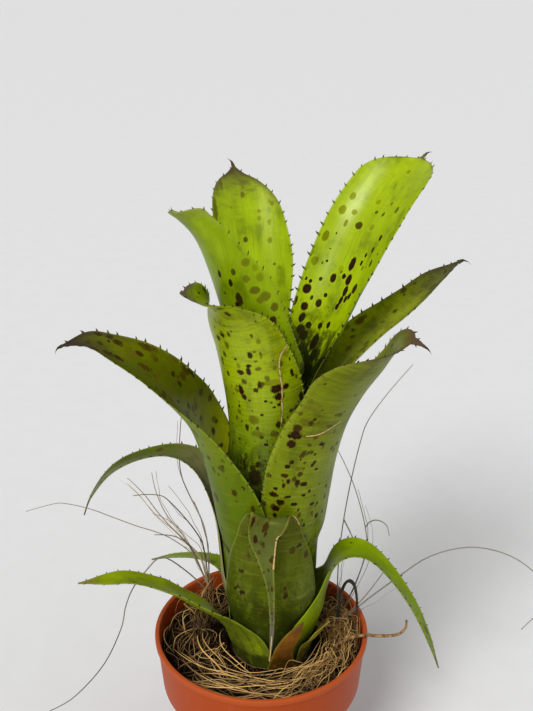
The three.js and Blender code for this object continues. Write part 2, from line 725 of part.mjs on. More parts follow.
// A flat three-sided spine that stands on a margin, from a root inside the blade to a point outside it.
// outward and forward lie in the blade's surface, away from it and towards the leaf's tip.
function spine(edge, outward, forward, length) {
  const across = outward.clone().cross(forward).normalize().multiplyScalar(SPINE_THICKNESS / 2);
  const root = edge.clone().addScaledVector(outward, -SPINE_ROOT);
  const front = root.clone().addScaledVector(forward, SPINE_WIDTH / 2);
  const back = root.clone().addScaledVector(forward, -SPINE_WIDTH / 2);
  const point = edge.clone().addScaledVector(outward, length).addScaledVector(forward, 0.6 * length);
  const corners = [front, back.clone().add(across), back.sub(across), point].map((v) => v.toArray());
  return solidOf(geometryFrom(corners, [0, 2, 1, 0, 1, 3, 1, 2, 3, 2, 0, 3]));
}

// A spine stands on both margins between every two rows of the blade, and one more ends the leaf.
function leafSpines(leaf, point) {
  const spines = [];
  const places = leafRows(leaf).filter((s) => s >= 0);
  const random = randomFrom(leaf.azimuth * 7 + 3);
  for (let i = 1; i < places.length - 2; i += 1) {
    for (const side of [-1, 1]) {
      const [low, high] = [point(places[i], side), point(places[i + 1], side)];
      if (low.distanceTo(high) < SPINE_SPACING) continue;
      const edge = low.clone().lerp(high, 0.5 + 0.4 * (random() - 0.5));
      const forward = high.sub(low).normalize();
      const s = (places[i] + places[i + 1]) / 2;
      const outward = point(s, side).sub(point(s, side * 0.9));
      outward.addScaledVector(forward, -outward.dot(forward)).normalize();
      spines.push(spine(edge, outward, forward, SPINE_LENGTH * (1.1 - 0.5 * s)));
    }
  }
  const tip = point(1, 0);
  const forward = tip.clone().sub(point(0.97, 0)).normalize();
  const aside = point(0.98, 1).sub(point(0.98, -1)).normalize();
  spines.push(spine(tip, forward, aside, 2 * SPINE_LENGTH));
  return spines;
}

const LEAF_GREEN = { color: 0x7fa02c, roughness: 0.35, metalness: 0 };

for (const leaf of LEAVES) {
  const point = leafSurface(leaf);
  const solid = wasm.Manifold.union([leafBlade(leaf, point), ...leafSpines(leaf, point)]);
  addPiece(leaf.name, geometryOf(solid), LEAF_GREEN);
}

const DRIED_LEAF = { color: 0x9a5f26, roughness: 0.7, metalness: 0 };

for (const leaf of OLD_LEAVES) {
  addPiece(leaf.name, geometryOf(leafBlade(leaf, leafSurface(leaf))), DRIED_LEAF);
}

const stub = strand(STUB_ROUTE, STUB_WIDTH, STUB_THICKNESS, 12, 4, 0.6);
addPiece("dried_leaf_stub", geometryOf(stub), { color: 0x2b2a22, roughness: 0.8, metalness: 0 });

const surfaceRoot = strand(ROOT_ROUTE, ROOT_THICKNESS, ROOT_THICKNESS, 12, 5, 0.55);
addPiece("surface_root", geometryOf(surfaceRoot), { color: 0x7a4a26, roughness: 0.85, metalness: 0 });

// ---------------------------------------------------------------- coir

const COIR = { color: 0xb08a55, roughness: 0.9, metalness: 0 };

// A matted lump of fibre: rings of seven uneven corners round the places of a route.
function coirLump(rings, seed) {
  const random = randomFrom(seed);
  const sides = 7;
  const points = [];
  for (const [x, y, z, radius] of rings) {
    for (let j = 0; j < sides; j += 1) {
      const angle = (TURN * j) / sides;
      const reach = radius * (0.85 + 0.3 * random());
      points.push([x + reach * Math.cos(angle), y + reach * Math.sin(angle), z]);
    }
  }
  return ringBody(points, sides);
}

// Short fibres that stand out of a lump all round, from its middle line outwards and up.
function lumpFibres(rings, count, reach, seed) {
  const random = randomFrom(seed);
  const fibres = [];
  for (let n = 0; n < count; n += 1) {
    const [x, y, z, radius] = rings[1 + Math.floor(random() * (rings.length - 2))];
    const angle = TURN * random();
    const length = radius + reach * (0.5 + random());
    const rise = 2 + 5 * random();
    const out = (share, up) => [
      x + length * share * Math.cos(angle + 0.5 * share),
      y + length * share * Math.sin(angle + 0.5 * share),
      z + up,
    ];
    fibres.push(strand([out(0, 0), out(0.5, 0.3 * rise), out(1, rise)], 0.8, 0.8, 4, 3, 0.6));
  }
  return fibres;
}

const whisker = (route) => strand(route, 2 * WHISKER_RADIUS, 2 * WHISKER_RADIUS, route.length + 3, 3, 0.7);

// The tuft stands beside the tube, left of it, and its long whiskers spray out of its top.
const tuft = wasm.Manifold.union([
  coirLump(TUFT_LUMP, 5),
  ...lumpFibres(TUFT_LUMP, TUFT_FIBRES, TUFT_FIBRE_REACH, 21),
  ...TUFT_WHISKERS.map(whisker),
]);
addPiece("coir_tuft", geometryOf(tuft), COIR);

const tangle = wasm.Manifold.union([coirLump(TANGLE_LUMP, 8), ...TANGLE_WHISKERS.map(whisker)]);
addPiece("coir_strands", geometryOf(tangle), COIR);

// A place in the mulch: share 0 lies beside the plant and share 1 inside the pot's wall.
function mulchPlace(angle, share, inner, outer) {
  const side = PLANT_X * Math.sin(angle);
  const reach = Math.sqrt(outer ** 2 - side ** 2) - PLANT_X * Math.cos(angle);
  const radius = inner + (reach - inner) * share;
  return [PLANT_X + radius * Math.cos(angle), radius * Math.sin(angle)];
}

// The matted bed: a ring with an uneven top.
function mulchBed() {
  const sides = 28;
  const random = randomFrom(2);
  const points = [];
  for (let i = 0; i < sides; i += 1) {
    const angle = (TURN * i) / sides;
    for (const [share, top] of [[0, false], [1, false], [1, true], [0.5, true], [0, true]]) {
      const height = top ? MULCH_TOP - 0.9 * random() : MULCH_BOTTOM;
      points.push([...mulchPlace(angle, share, MULCH_INNER, MULCH_OUTER), height]);
    }
  }
  const triangles = [];
  for (let i = 0; i < sides; i += 1) {
    for (let j = 0; j < 5; j += 1) {
      const [a, b] = [i * 5 + j, i * 5 + ((j + 1) % 5)];
      const [c, d] = [((i + 1) % sides) * 5 + ((j + 1) % 5), ((i + 1) % sides) * 5 + j];
      triangles.push(a, c, b, a, d, c);
    }
  }
  return solidOf(geometryFrom(points, triangles));
}

// Strands drawn at random: arcs that lie round the plant with both ends in the bed, and straighter
// ones that stand up out of it on the right. A draw that comes near another piece is left out.
function mulchStrands(taken) {
  const random = randomFrom(17);
  const kept = [];
  const low = MULCH_TOP - 1.8;
  const add = (route, segments) => {
    const roomy = strand(route, 2 * (STRAND_RADIUS + FIT), 2 * (STRAND_RADIUS + FIT), segments, 4, 1);
    if (roomy.intersect(taken).isEmpty()) {
      kept.push(strand(route, 2 * STRAND_RADIUS, 2 * STRAND_RADIUS, segments, 3, 0.8));
    }
  };
  while (kept.length < NEST_STRANDS) {
    const start = TURN * random();
    const span = 0.6 + 1.2 * random();
    const [from, to] = [random(), random()];
    const crest = 1.5 + 5.5 * random();
    const route = [0, 0.25, 0.5, 0.75, 1].map((u) => {
      const share = Math.min(Math.max(from + (to - from) * u + 0.2 * (random() - 0.5), 0), 1);
      const place = mulchPlace(start + span * u, share, NEST_INNER, NEST_OUTER);
      return [...place, low + crest * Math.sin(Math.PI * u) ** 0.7];
    });
    add(route, 5);
  }
  while (kept.length < NEST_STRANDS + STANDING_STRANDS) {
    const start = 2.2 * random() - 1.3;
    const lean = 0.9 * (random() - 0.5);
    const [from, to] = [0.35 + 0.5 * random(), 0.45 + 0.5 * random()];
    const rise = 8 + 9 * random();
    const route = [0, 0.5, 1].map((u) => {
      const place = mulchPlace(start + lean * u, from + (to - from) * u, NEST_INNER, NEST_OUTER);
      return [...place, low + rise * u];
    });
    add(route, 3);
  }
  return kept;
}

const taken = wasm.Manifold.union([tuft, tangle, stub, surfaceRoot]);
const mulch = wasm.Manifold.union([mulchBed(), ...mulchStrands(taken)]);
addPiece("coir_mulch", geometryOf(mulch), COIR);

export default part;
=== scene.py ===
import json
import math

import bpy
import numpy as np
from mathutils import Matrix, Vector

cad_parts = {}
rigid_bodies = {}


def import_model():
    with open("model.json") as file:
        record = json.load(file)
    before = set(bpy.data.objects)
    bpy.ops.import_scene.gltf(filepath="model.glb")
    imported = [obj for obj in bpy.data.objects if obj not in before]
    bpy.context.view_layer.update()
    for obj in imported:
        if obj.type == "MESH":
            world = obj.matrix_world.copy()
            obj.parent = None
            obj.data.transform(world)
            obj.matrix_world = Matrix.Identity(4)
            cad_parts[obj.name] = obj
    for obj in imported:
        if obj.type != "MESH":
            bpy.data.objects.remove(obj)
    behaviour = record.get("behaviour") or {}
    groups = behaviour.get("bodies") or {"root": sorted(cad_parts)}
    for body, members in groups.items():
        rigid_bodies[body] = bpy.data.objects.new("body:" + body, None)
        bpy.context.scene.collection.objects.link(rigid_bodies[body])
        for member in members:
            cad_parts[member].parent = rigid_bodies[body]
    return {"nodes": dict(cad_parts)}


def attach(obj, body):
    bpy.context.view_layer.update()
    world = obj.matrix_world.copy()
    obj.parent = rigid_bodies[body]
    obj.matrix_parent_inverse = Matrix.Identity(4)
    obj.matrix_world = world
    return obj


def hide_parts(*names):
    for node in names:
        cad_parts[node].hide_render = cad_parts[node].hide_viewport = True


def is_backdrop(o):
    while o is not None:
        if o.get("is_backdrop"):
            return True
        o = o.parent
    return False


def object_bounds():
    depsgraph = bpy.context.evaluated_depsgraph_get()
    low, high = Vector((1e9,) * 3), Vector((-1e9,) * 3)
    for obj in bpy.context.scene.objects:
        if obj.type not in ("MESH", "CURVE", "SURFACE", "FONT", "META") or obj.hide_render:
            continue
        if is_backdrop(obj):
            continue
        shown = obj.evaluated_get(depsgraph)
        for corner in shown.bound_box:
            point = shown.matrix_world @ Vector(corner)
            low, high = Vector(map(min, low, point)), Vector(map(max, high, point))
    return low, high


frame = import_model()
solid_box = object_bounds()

# ---------------------------------------------------------------- view, floor and light
# The plant stands on a wide pale sheet in a pale studio, under a broad soft light from the upper left and
# a weaker one from the right. The camera looks down on it from above its tips. This section is in metres.

LOOKING_DOWN = 23.45
ROOM_LIGHT = 0.31
ROOM_SEEN = 0.74
FLOOR_REACH = 60

camera = bpy.data.objects.new("view", bpy.data.cameras.new("view"))
camera.location = (0.0026, -0.4017, 0.4107)
camera.rotation_euler = (math.radians(90 - LOOKING_DOWN), 0, 0)
camera.data.lens = 50.63
camera.data.sensor_width = 36
camera.data.clip_start = 0.01
bpy.context.collection.objects.link(camera)
bpy.context.scene.camera = camera
bpy.context.scene.view_settings.view_transform = "Standard"

for name, (x, y, z), softness, strength in (
    ("window_light", (-0.42, -0.72, 0.85), 24, 2.35),
    ("fill_light", (0.9, -0.5, 0.9), 70, 0.5),
):
    lamp = bpy.data.objects.new(name, bpy.data.lights.new(name, "SUN"))
    lamp.data.angle = math.radians(softness)
    lamp.data.energy = strength
    lamp.rotation_euler = (math.atan2(math.hypot(x, y), z), 0, math.atan2(y, x) + math.pi / 2)
    bpy.context.collection.objects.link(lamp)

world = bpy.data.worlds.new("studio")
world.use_nodes = True
bpy.context.scene.world = world
room = world.node_tree.nodes["Background"]
room.inputs["Color"].default_value = (1, 1, 1, 1)
room_glow = world.node_tree.nodes.new("ShaderNodeMapRange")
room_glow.inputs["To Min"].default_value = ROOM_LIGHT
room_glow.inputs["To Max"].default_value = ROOM_SEEN
seen = world.node_tree.nodes.new("ShaderNodeLightPath")
world.node_tree.links.new(seen.outputs["Is Camera Ray"], room_glow.inputs["Value"])
world.node_tree.links.new(room_glow.outputs["Result"], room.inputs["Strength"])


class Shade:
    """A shader socket that takes arithmetic: each operator adds the Math node that does it."""

    def __init__(self, look, socket):
        self.look = look
        self.socket = socket

    def __add__(self, other):
        return self.look.math("ADD", self, other)

    def __sub__(self, other):
        return self.look.math("SUBTRACT", self, other)

    def __rsub__(self, other):
        return self.look.math("SUBTRACT", other, self)

    def __mul__(self, other):
        return self.look.math("MULTIPLY", self, other)

    __radd__ = __add__
    __rmul__ = __mul__


class Look:
    """A Principled material. Its constants go straight on the shader's sockets."""

    def __init__(self, name, constants):
        self.material = bpy.data.materials.new(name)
        self.material.use_nodes = True
        self.tree = self.material.node_tree
        self.shader = self.tree.nodes["Principled BSDF"]
        for socket, value in constants.items():
            self.shader.inputs[socket].default_value = value

    def node(self, kind, settings, values, output=0):
        """Adds a node: its settings first, then a value or a link on each of its sockets."""
        made = self.tree.nodes.new(kind)
        for setting, value in settings.items():
            setattr(made, setting, value)
        for socket, value in values.items():
            self.feed(made.inputs[socket], value)
        return Shade(self, made.outputs[output])

    def feed(self, socket, value):
        if isinstance(value, Shade):
            self.tree.links.new(value.socket, socket)
        elif hasattr(value, "__len__") and len(value) == 3 and len(socket.default_value) == 4:
            socket.default_value = (*value, 1)
        else:
            socket.default_value = value

    def math(self, operation, *values):
        return self.node("ShaderNodeMath", {"operation": operation}, dict(enumerate(values)))

    def between(self, value, low, high):
        """0 where the value is at low, 1 where it is at high, and a soft step from one to the other."""
        settings = {"interpolation_type": "SMOOTHSTEP"}
        return self.node("ShaderNodeMapRange", settings, {"Value": value, "From Min": low, "From Max": high})

    def mix(self, share, first, second):
        """The first colour turned into the second by a share."""
        settings = {"data_type": "RGBA"}
        return self.node("ShaderNodeMix", settings, {"Factor": share, 6: first, 7: second}, 2)

    def place(self, scale=(1, 1, 1)):
        """Object coordinates stretched by a scale."""
        here = self.node("ShaderNodeTexCoord", {}, {}, "Object")
        return self.stretch(here, scale)

    def stretch(self, vector, scale):
        return self.node("ShaderNodeVectorMath", {"operation": "MULTIPLY"}, {0: vector, 1: scale})

    def noise(self, vector, scale, detail=2.0, roughness=0.5):
        values = {"Vector": vector, "Scale": scale, "Detail": detail, "Roughness": roughness}
        return self.node("ShaderNodeTexNoise", {}, values)

    def attribute(self, name):
        """The three numbers of a piece's own attribute."""
        vector = self.node("ShaderNodeAttribute", {"attribute_name": name}, {}, "Vector")
        parts = self.node("ShaderNodeSeparateXYZ", {}, {"Vector": vector})
        outputs = parts.socket.node.outputs
        return vector, *(Shade(self, outputs[axis]) for axis in range(3))

    def finish(self, values, height=None, distance=0.0002):
        """Feeds what changes over the surface, and a height in metres through a Bump node."""
        for socket, value in values.items():
            self.feed(self.shader.inputs[socket], value)
        if height is not None:
            bump = self.node("ShaderNodeBump", {}, {"Height": height, "Distance": distance})
            self.feed(self.shader.inputs["Normal"], bump)
        return self.material


def add_piece(name, points, faces, look, slot, nodes, attributes=None):
    """Puts a surface into a smooth mesh in metres, from points in millimetres and faces as corner numbers."""
    mesh = bpy.data.meshes.new(name)
    mesh.from_pydata(np.asarray(points) / 1000, [], faces)
    for key, values in (attributes or {}).items():
        layer = mesh.attributes.new(key, "FLOAT_VECTOR", "POINT")
        layer.data.foreach_set("vector", np.asarray(values, dtype=np.float32).ravel())
    mesh.materials.append(look)
    mesh.shade_smooth()
    piece = bpy.data.objects.new(name, mesh)
    bpy.context.collection.objects.link(piece)
    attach(piece, "root")
    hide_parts(*nodes)
    return piece


def sheet_look():
    """A matt pale sheet with hardly any grain."""
    look = Look("pale_sheet", {"Roughness": 0.9, "Specular IOR Level": 0.2})
    grain = look.noise(look.place(), 60, 3)
    return look.finish({"Base Color": look.mix(grain, (0.78, 0.78, 0.78), (0.82, 0.82, 0.82))})


floor_mesh = bpy.data.meshes.new("floor")
floor_corners = [(FLOOR_REACH * x, FLOOR_REACH * y, 0) for x, y in ((-1, -1), (1, -1), (1, 1), (-1, 1))]
floor_mesh.from_pydata(floor_corners, [], [(0, 1, 2, 3)])
floor_mesh.materials.append(sheet_look())
floor = bpy.data.objects.new("floor", floor_mesh)
bpy.context.collection.objects.link(floor)
floor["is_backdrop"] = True

# ---------------------------------------------------------------- pot
# A nursery pot, injection moulded in terracotta-coloured plastic: a tapered body, a wide collar that
# stands out from it, a thin rounded lip, and drain holes in a ring through the base. Sizes from here on are
# in millimetres.

POT_HEIGHT = 90
POT_RIM = 52.5
POT_FOOT = 36
COLLAR_FOOT = 61
POT_SIDES = 144
DRAIN_HOLES = 6
DRAIN_RING = 23
DRAIN_RADIUS = 3.5
DRAIN_SIDES = 32
WELD_REACH = 0.00001


def grid_faces(rows, around, closed=False, copies=1):
    """Four-cornered faces of a grid in which every row is a ring, and corner b of row a has the number
    a * around + b. A closed grid's last row joins its first. Copies of the grid follow one another."""
    a, b = np.meshgrid(np.arange(rows if closed else rows - 1), np.arange(around), indexing="ij")
    corner = lambda row, place: (row % rows) * around + place % around
    faces = np.stack([corner(a, b), corner(a, b + 1), corner(a + 1, b + 1), corner(a + 1, b)], axis=-1)
    return (np.arange(copies)[:, None, None] * rows * around + faces.reshape(-1, 4)).reshape(-1, 4)


def lathe(profile, sides):
    """Turns a closed profile of (radius, height) about Z: x = r cos a, y = r sin a, in equal steps of a."""
    profile = np.asarray(profile, dtype=float)
    angle = np.linspace(0, 2 * np.pi, sides, endpoint=False)[:, None]
    radius, height = profile[:, 0][None, :], profile[:, 1][None, :]
    points = np.stack([radius * np.cos(angle), radius * np.sin(angle), height + 0 * angle], axis=-1)
    return points.reshape(-1, 3), grid_faces(sides, len(profile), closed=True)[:, [0, 3, 2, 1]]


def rounded(corners, radius, steps):
    """A profile whose inner corners are turned into quadratic curves of about the given radius:
    (1 - u)^2 start + 2 u (1 - u) corner + u^2 stop."""
    rows = []
    for before, corner, after in zip(corners[:-2], corners[1:-1], corners[2:]):
        before, corner, after = map(np.array, (before, corner, after))
        reach = [min(radius, 0.45 * np.linalg.norm(end - corner)) for end in (before, after)]
        start = corner + (before - corner) / np.linalg.norm(before - corner) * reach[0]
        stop = corner + (after - corner) / np.linalg.norm(after - corner) * reach[1]
        u = np.linspace(0, 1, steps)[:, None]
        rows.append((1 - u) ** 2 * start + 2 * u * (1 - u) * corner + u**2 * stop)
    return np.vstack([[corners[0]], *rows, [corners[-1]]])


def weld(piece):
    """Joins the corners that a lathe leaves together on its axis."""
    piece.modifiers.new("weld", "WELD").merge_threshold = WELD_REACH


def pot_look():
    """Orange brown plastic, clouded and faintly streaked down the wall, with a painted highlight that makes
    the lip paler, a little dusty.
    """
    look = Look("terracotta_plastic", {"Specular IOR Level": 0.13, "Specular Tint": (1, 0.6, 0.4, 1)})
    here = look.place()
    cloud = look.noise(here, 22, 3)
    streak = look.noise(look.place((1, 1, 0.06)), 160, 2)
    grain = look.noise(here, 1900, 2)
    height = look.node("ShaderNodeSeparateXYZ", {}, {"Vector": here}, 2)
    lip_highlight = look.between(height, (POT_HEIGHT - 4.5) / 1000, (POT_HEIGHT - 0.5) / 1000)
    dust = look.between(look.noise(here, 75, 5, 0.65), 0.58, 0.75)
    body = look.mix(cloud, (0.38, 0.052, 0.006), (0.44, 0.068, 0.010))
    body = look.mix(0.4 * streak, body, (0.34, 0.044, 0.005))
    # Painted highlight: the top of the lip is mixed towards a paler orange, where light catches the rim.
    body = look.mix(0.5 * lip_highlight, body, (0.50, 0.105, 0.030))
    body = look.mix(0.22 * dust, body, (0.42, 0.25, 0.15))
    values = {"Base Color": body, "Roughness": 0.40 + 0.12 * cloud + 0.18 * dust - 0.05 * lip_highlight}
    return look.finish(values, 0.7 * grain + 0.5 * streak, 0.00006)


pot_outline = [
    (0, 0), (POT_FOOT - 1.2, 0), (POT_FOOT, 1.2), (46.4, COLLAR_FOOT - 1.5), (49, COLLAR_FOOT - 0.4),
    (49.4, COLLAR_FOOT + 1), (51.4, POT_HEIGHT - 3.8), (POT_RIM, POT_HEIGHT - 3.2), (POT_RIM, POT_HEIGHT),
    (50.4, POT_HEIGHT), (50.1, POT_HEIGHT - 2), (48.1, COLLAR_FOOT + 1.5), (45, COLLAR_FOOT - 1), (35, 2),
    (0, 2),
]
pot_points, pot_faces = lathe(rounded(pot_outline, 0.8, 5), POT_SIDES)
pot_shell = add_piece("pot_shell", pot_points, pot_faces, pot_look(), "terracotta_plastic", ["pot"])
weld(pot_shell)
drill_points, drill_faces = lathe([(0, -3), (DRAIN_RADIUS, -3), (DRAIN_RADIUS, 5), (0, 5)], DRAIN_SIDES)
for angle in 2 * math.pi * np.arange(DRAIN_HOLES) / DRAIN_HOLES:
    place = DRAIN_RING * np.array([math.cos(angle), math.sin(angle), 0])
    cutter_mesh = bpy.data.meshes.new("drain_cutter")
    cutter_mesh.from_pydata((drill_points + place) / 1000, [], drill_faces)
    cutter = bpy.data.objects.new("drain_cutter", cutter_mesh)
    bpy.context.collection.objects.link(cutter)
    weld(cutter)
    pot_shell.modifiers.new("drain", "BOOLEAN").object = cutter
bpy.context.view_layer.update()
cut_mesh = bpy.data.meshes.new_from_object(pot_shell.evaluated_get(bpy.context.evaluated_depsgraph_get()))
pot_shell.modifiers.clear()
pot_shell.data = cut_mesh
for spare in [o for o in bpy.data.objects if o.name.startswith("drain_cutter")]:
    bpy.data.objects.remove(spare)

# ---------------------------------------------------------------- potting mix and stem
# Dark, damp peat with crumbs of bark fills the pot, and the plant's woody stem stands in it, hidden by
# the sheaths.


def soil_look():
    """Near black peat with lighter crumbs."""
    look = Look("potting_mix", {"Specular IOR Level": 0.25})
    here = look.place()
    crumb = look.noise(here, 420, 5, 0.65)
    patch = look.noise(here, 60, 3)
    base = look.mix(look.between(crumb, 0.35, 0.7), (0.006, 0.004, 0.003), (0.045, 0.026, 0.014))
    base = look.mix(0.5 * patch, base, (0.016, 0.010, 0.006))
    return look.finish({"Base Color": base, "Roughness": 0.8 + 0.2 * patch}, crumb, 0.0012)


def bark_look():
    """A dull brown bark in rings across the stem."""
    look = Look("stem_bark", {"Specular IOR Level": 0.3, "Roughness": 0.85})
    ring = look.noise(look.place((1, 1, 6)), 90, 4)
    return look.finish({"Base Color": look.mix(ring, (0.16, 0.10, 0.05), (0.26, 0.2, 0.1))}, ring, 0.0005)


for node, look in (("potting_mix", soil_look()), ("stem", bark_look())):
    frame["nodes"][node].data.materials.clear()
    frame["nodes"][node].data.materials.append(look)

# ---------------------------------------------------------------- leaves
# Twelve strap leaves whose bases roll round each other into a tube. Each is one waxy blade, thin at its
# margins, spiny along both of them, yellow green to dark olive, with maroon spots and fine veins.

PLANT_PLACE = np.array([5, 0, 80])
LEAF_THICKNESS = 0.7
LEAF_SEED = 40
MIDRIB_STEPS = 400

# The tube's outer radius at every step of height. A sheath's foot rises with its inset, and over the blend a
# section turns from standing square to the tube's axis to standing square to the blade's midrib.
TUBE_STEP = 20
TUBE_RADII = [19, 25, 29.5, 30.5, 32, 34, 32.5, 30, 29]
FOOT_RISE = 1.1
FRAME_BLEND = 12

# A section is worked out to a reach either side of the midrib, in half widths, in so many steps.
SECTION_REACH = 1.6
SECTION_STEPS = 320
CREASE_RUN = 0.25
CREASE_SOFTNESS = 0.05

# A leaf leans to its azimuth, in degrees. Its sheath lies inset from the tube's surface up to the height of
# its mouth and wraps the tube by half angles, and the blade's midrib goes on from there. Width, roll, twist
# and shift are spread evenly along the blade: half widths, the turn from the midrib to a margin, the turn
# about the midrib, and how far the blade sits to one side. A crease is (place across, turn, start), a tongue
# (half width, length, power) and a claw, the hooked tip, (length, direction, bend).
# Inner and outer are the colours of the upper and the lower face, low and high on the blade, and rise is
# where one turns into the other. Spots are drawn at random, marks are single spots, (along, across, half
# width, half length, tone), and cracks are chains of (along, across). Mottle, stain and gloss are (from, to,
# strength) along the blade, rim is (width, strength), bands the strength of the cross bands. The mottle is a
# dark olive low on the blade and in the sheath: partly the leaf's own mottling, partly painted shade of the
# throat between the leaves.
PLAIN_LEAF = dict(
    twist=[0], shift=[0], lean=0, crease=(0, 0, 0), round_tip=0, claw=(),
    spot_spread=(0.25, 1.0), marks=(), cracks=(), ragged=1.2, spines=0,
    rise=(-0.35, 0.45), mottle_and_shade=(0.0, -0.5, 0.6), stain=(0.5, 1.0, 0.2), gloss=(0.0, 0.5, 0.06),
    rim=(1.2, 0.25), shine=0.22,
)

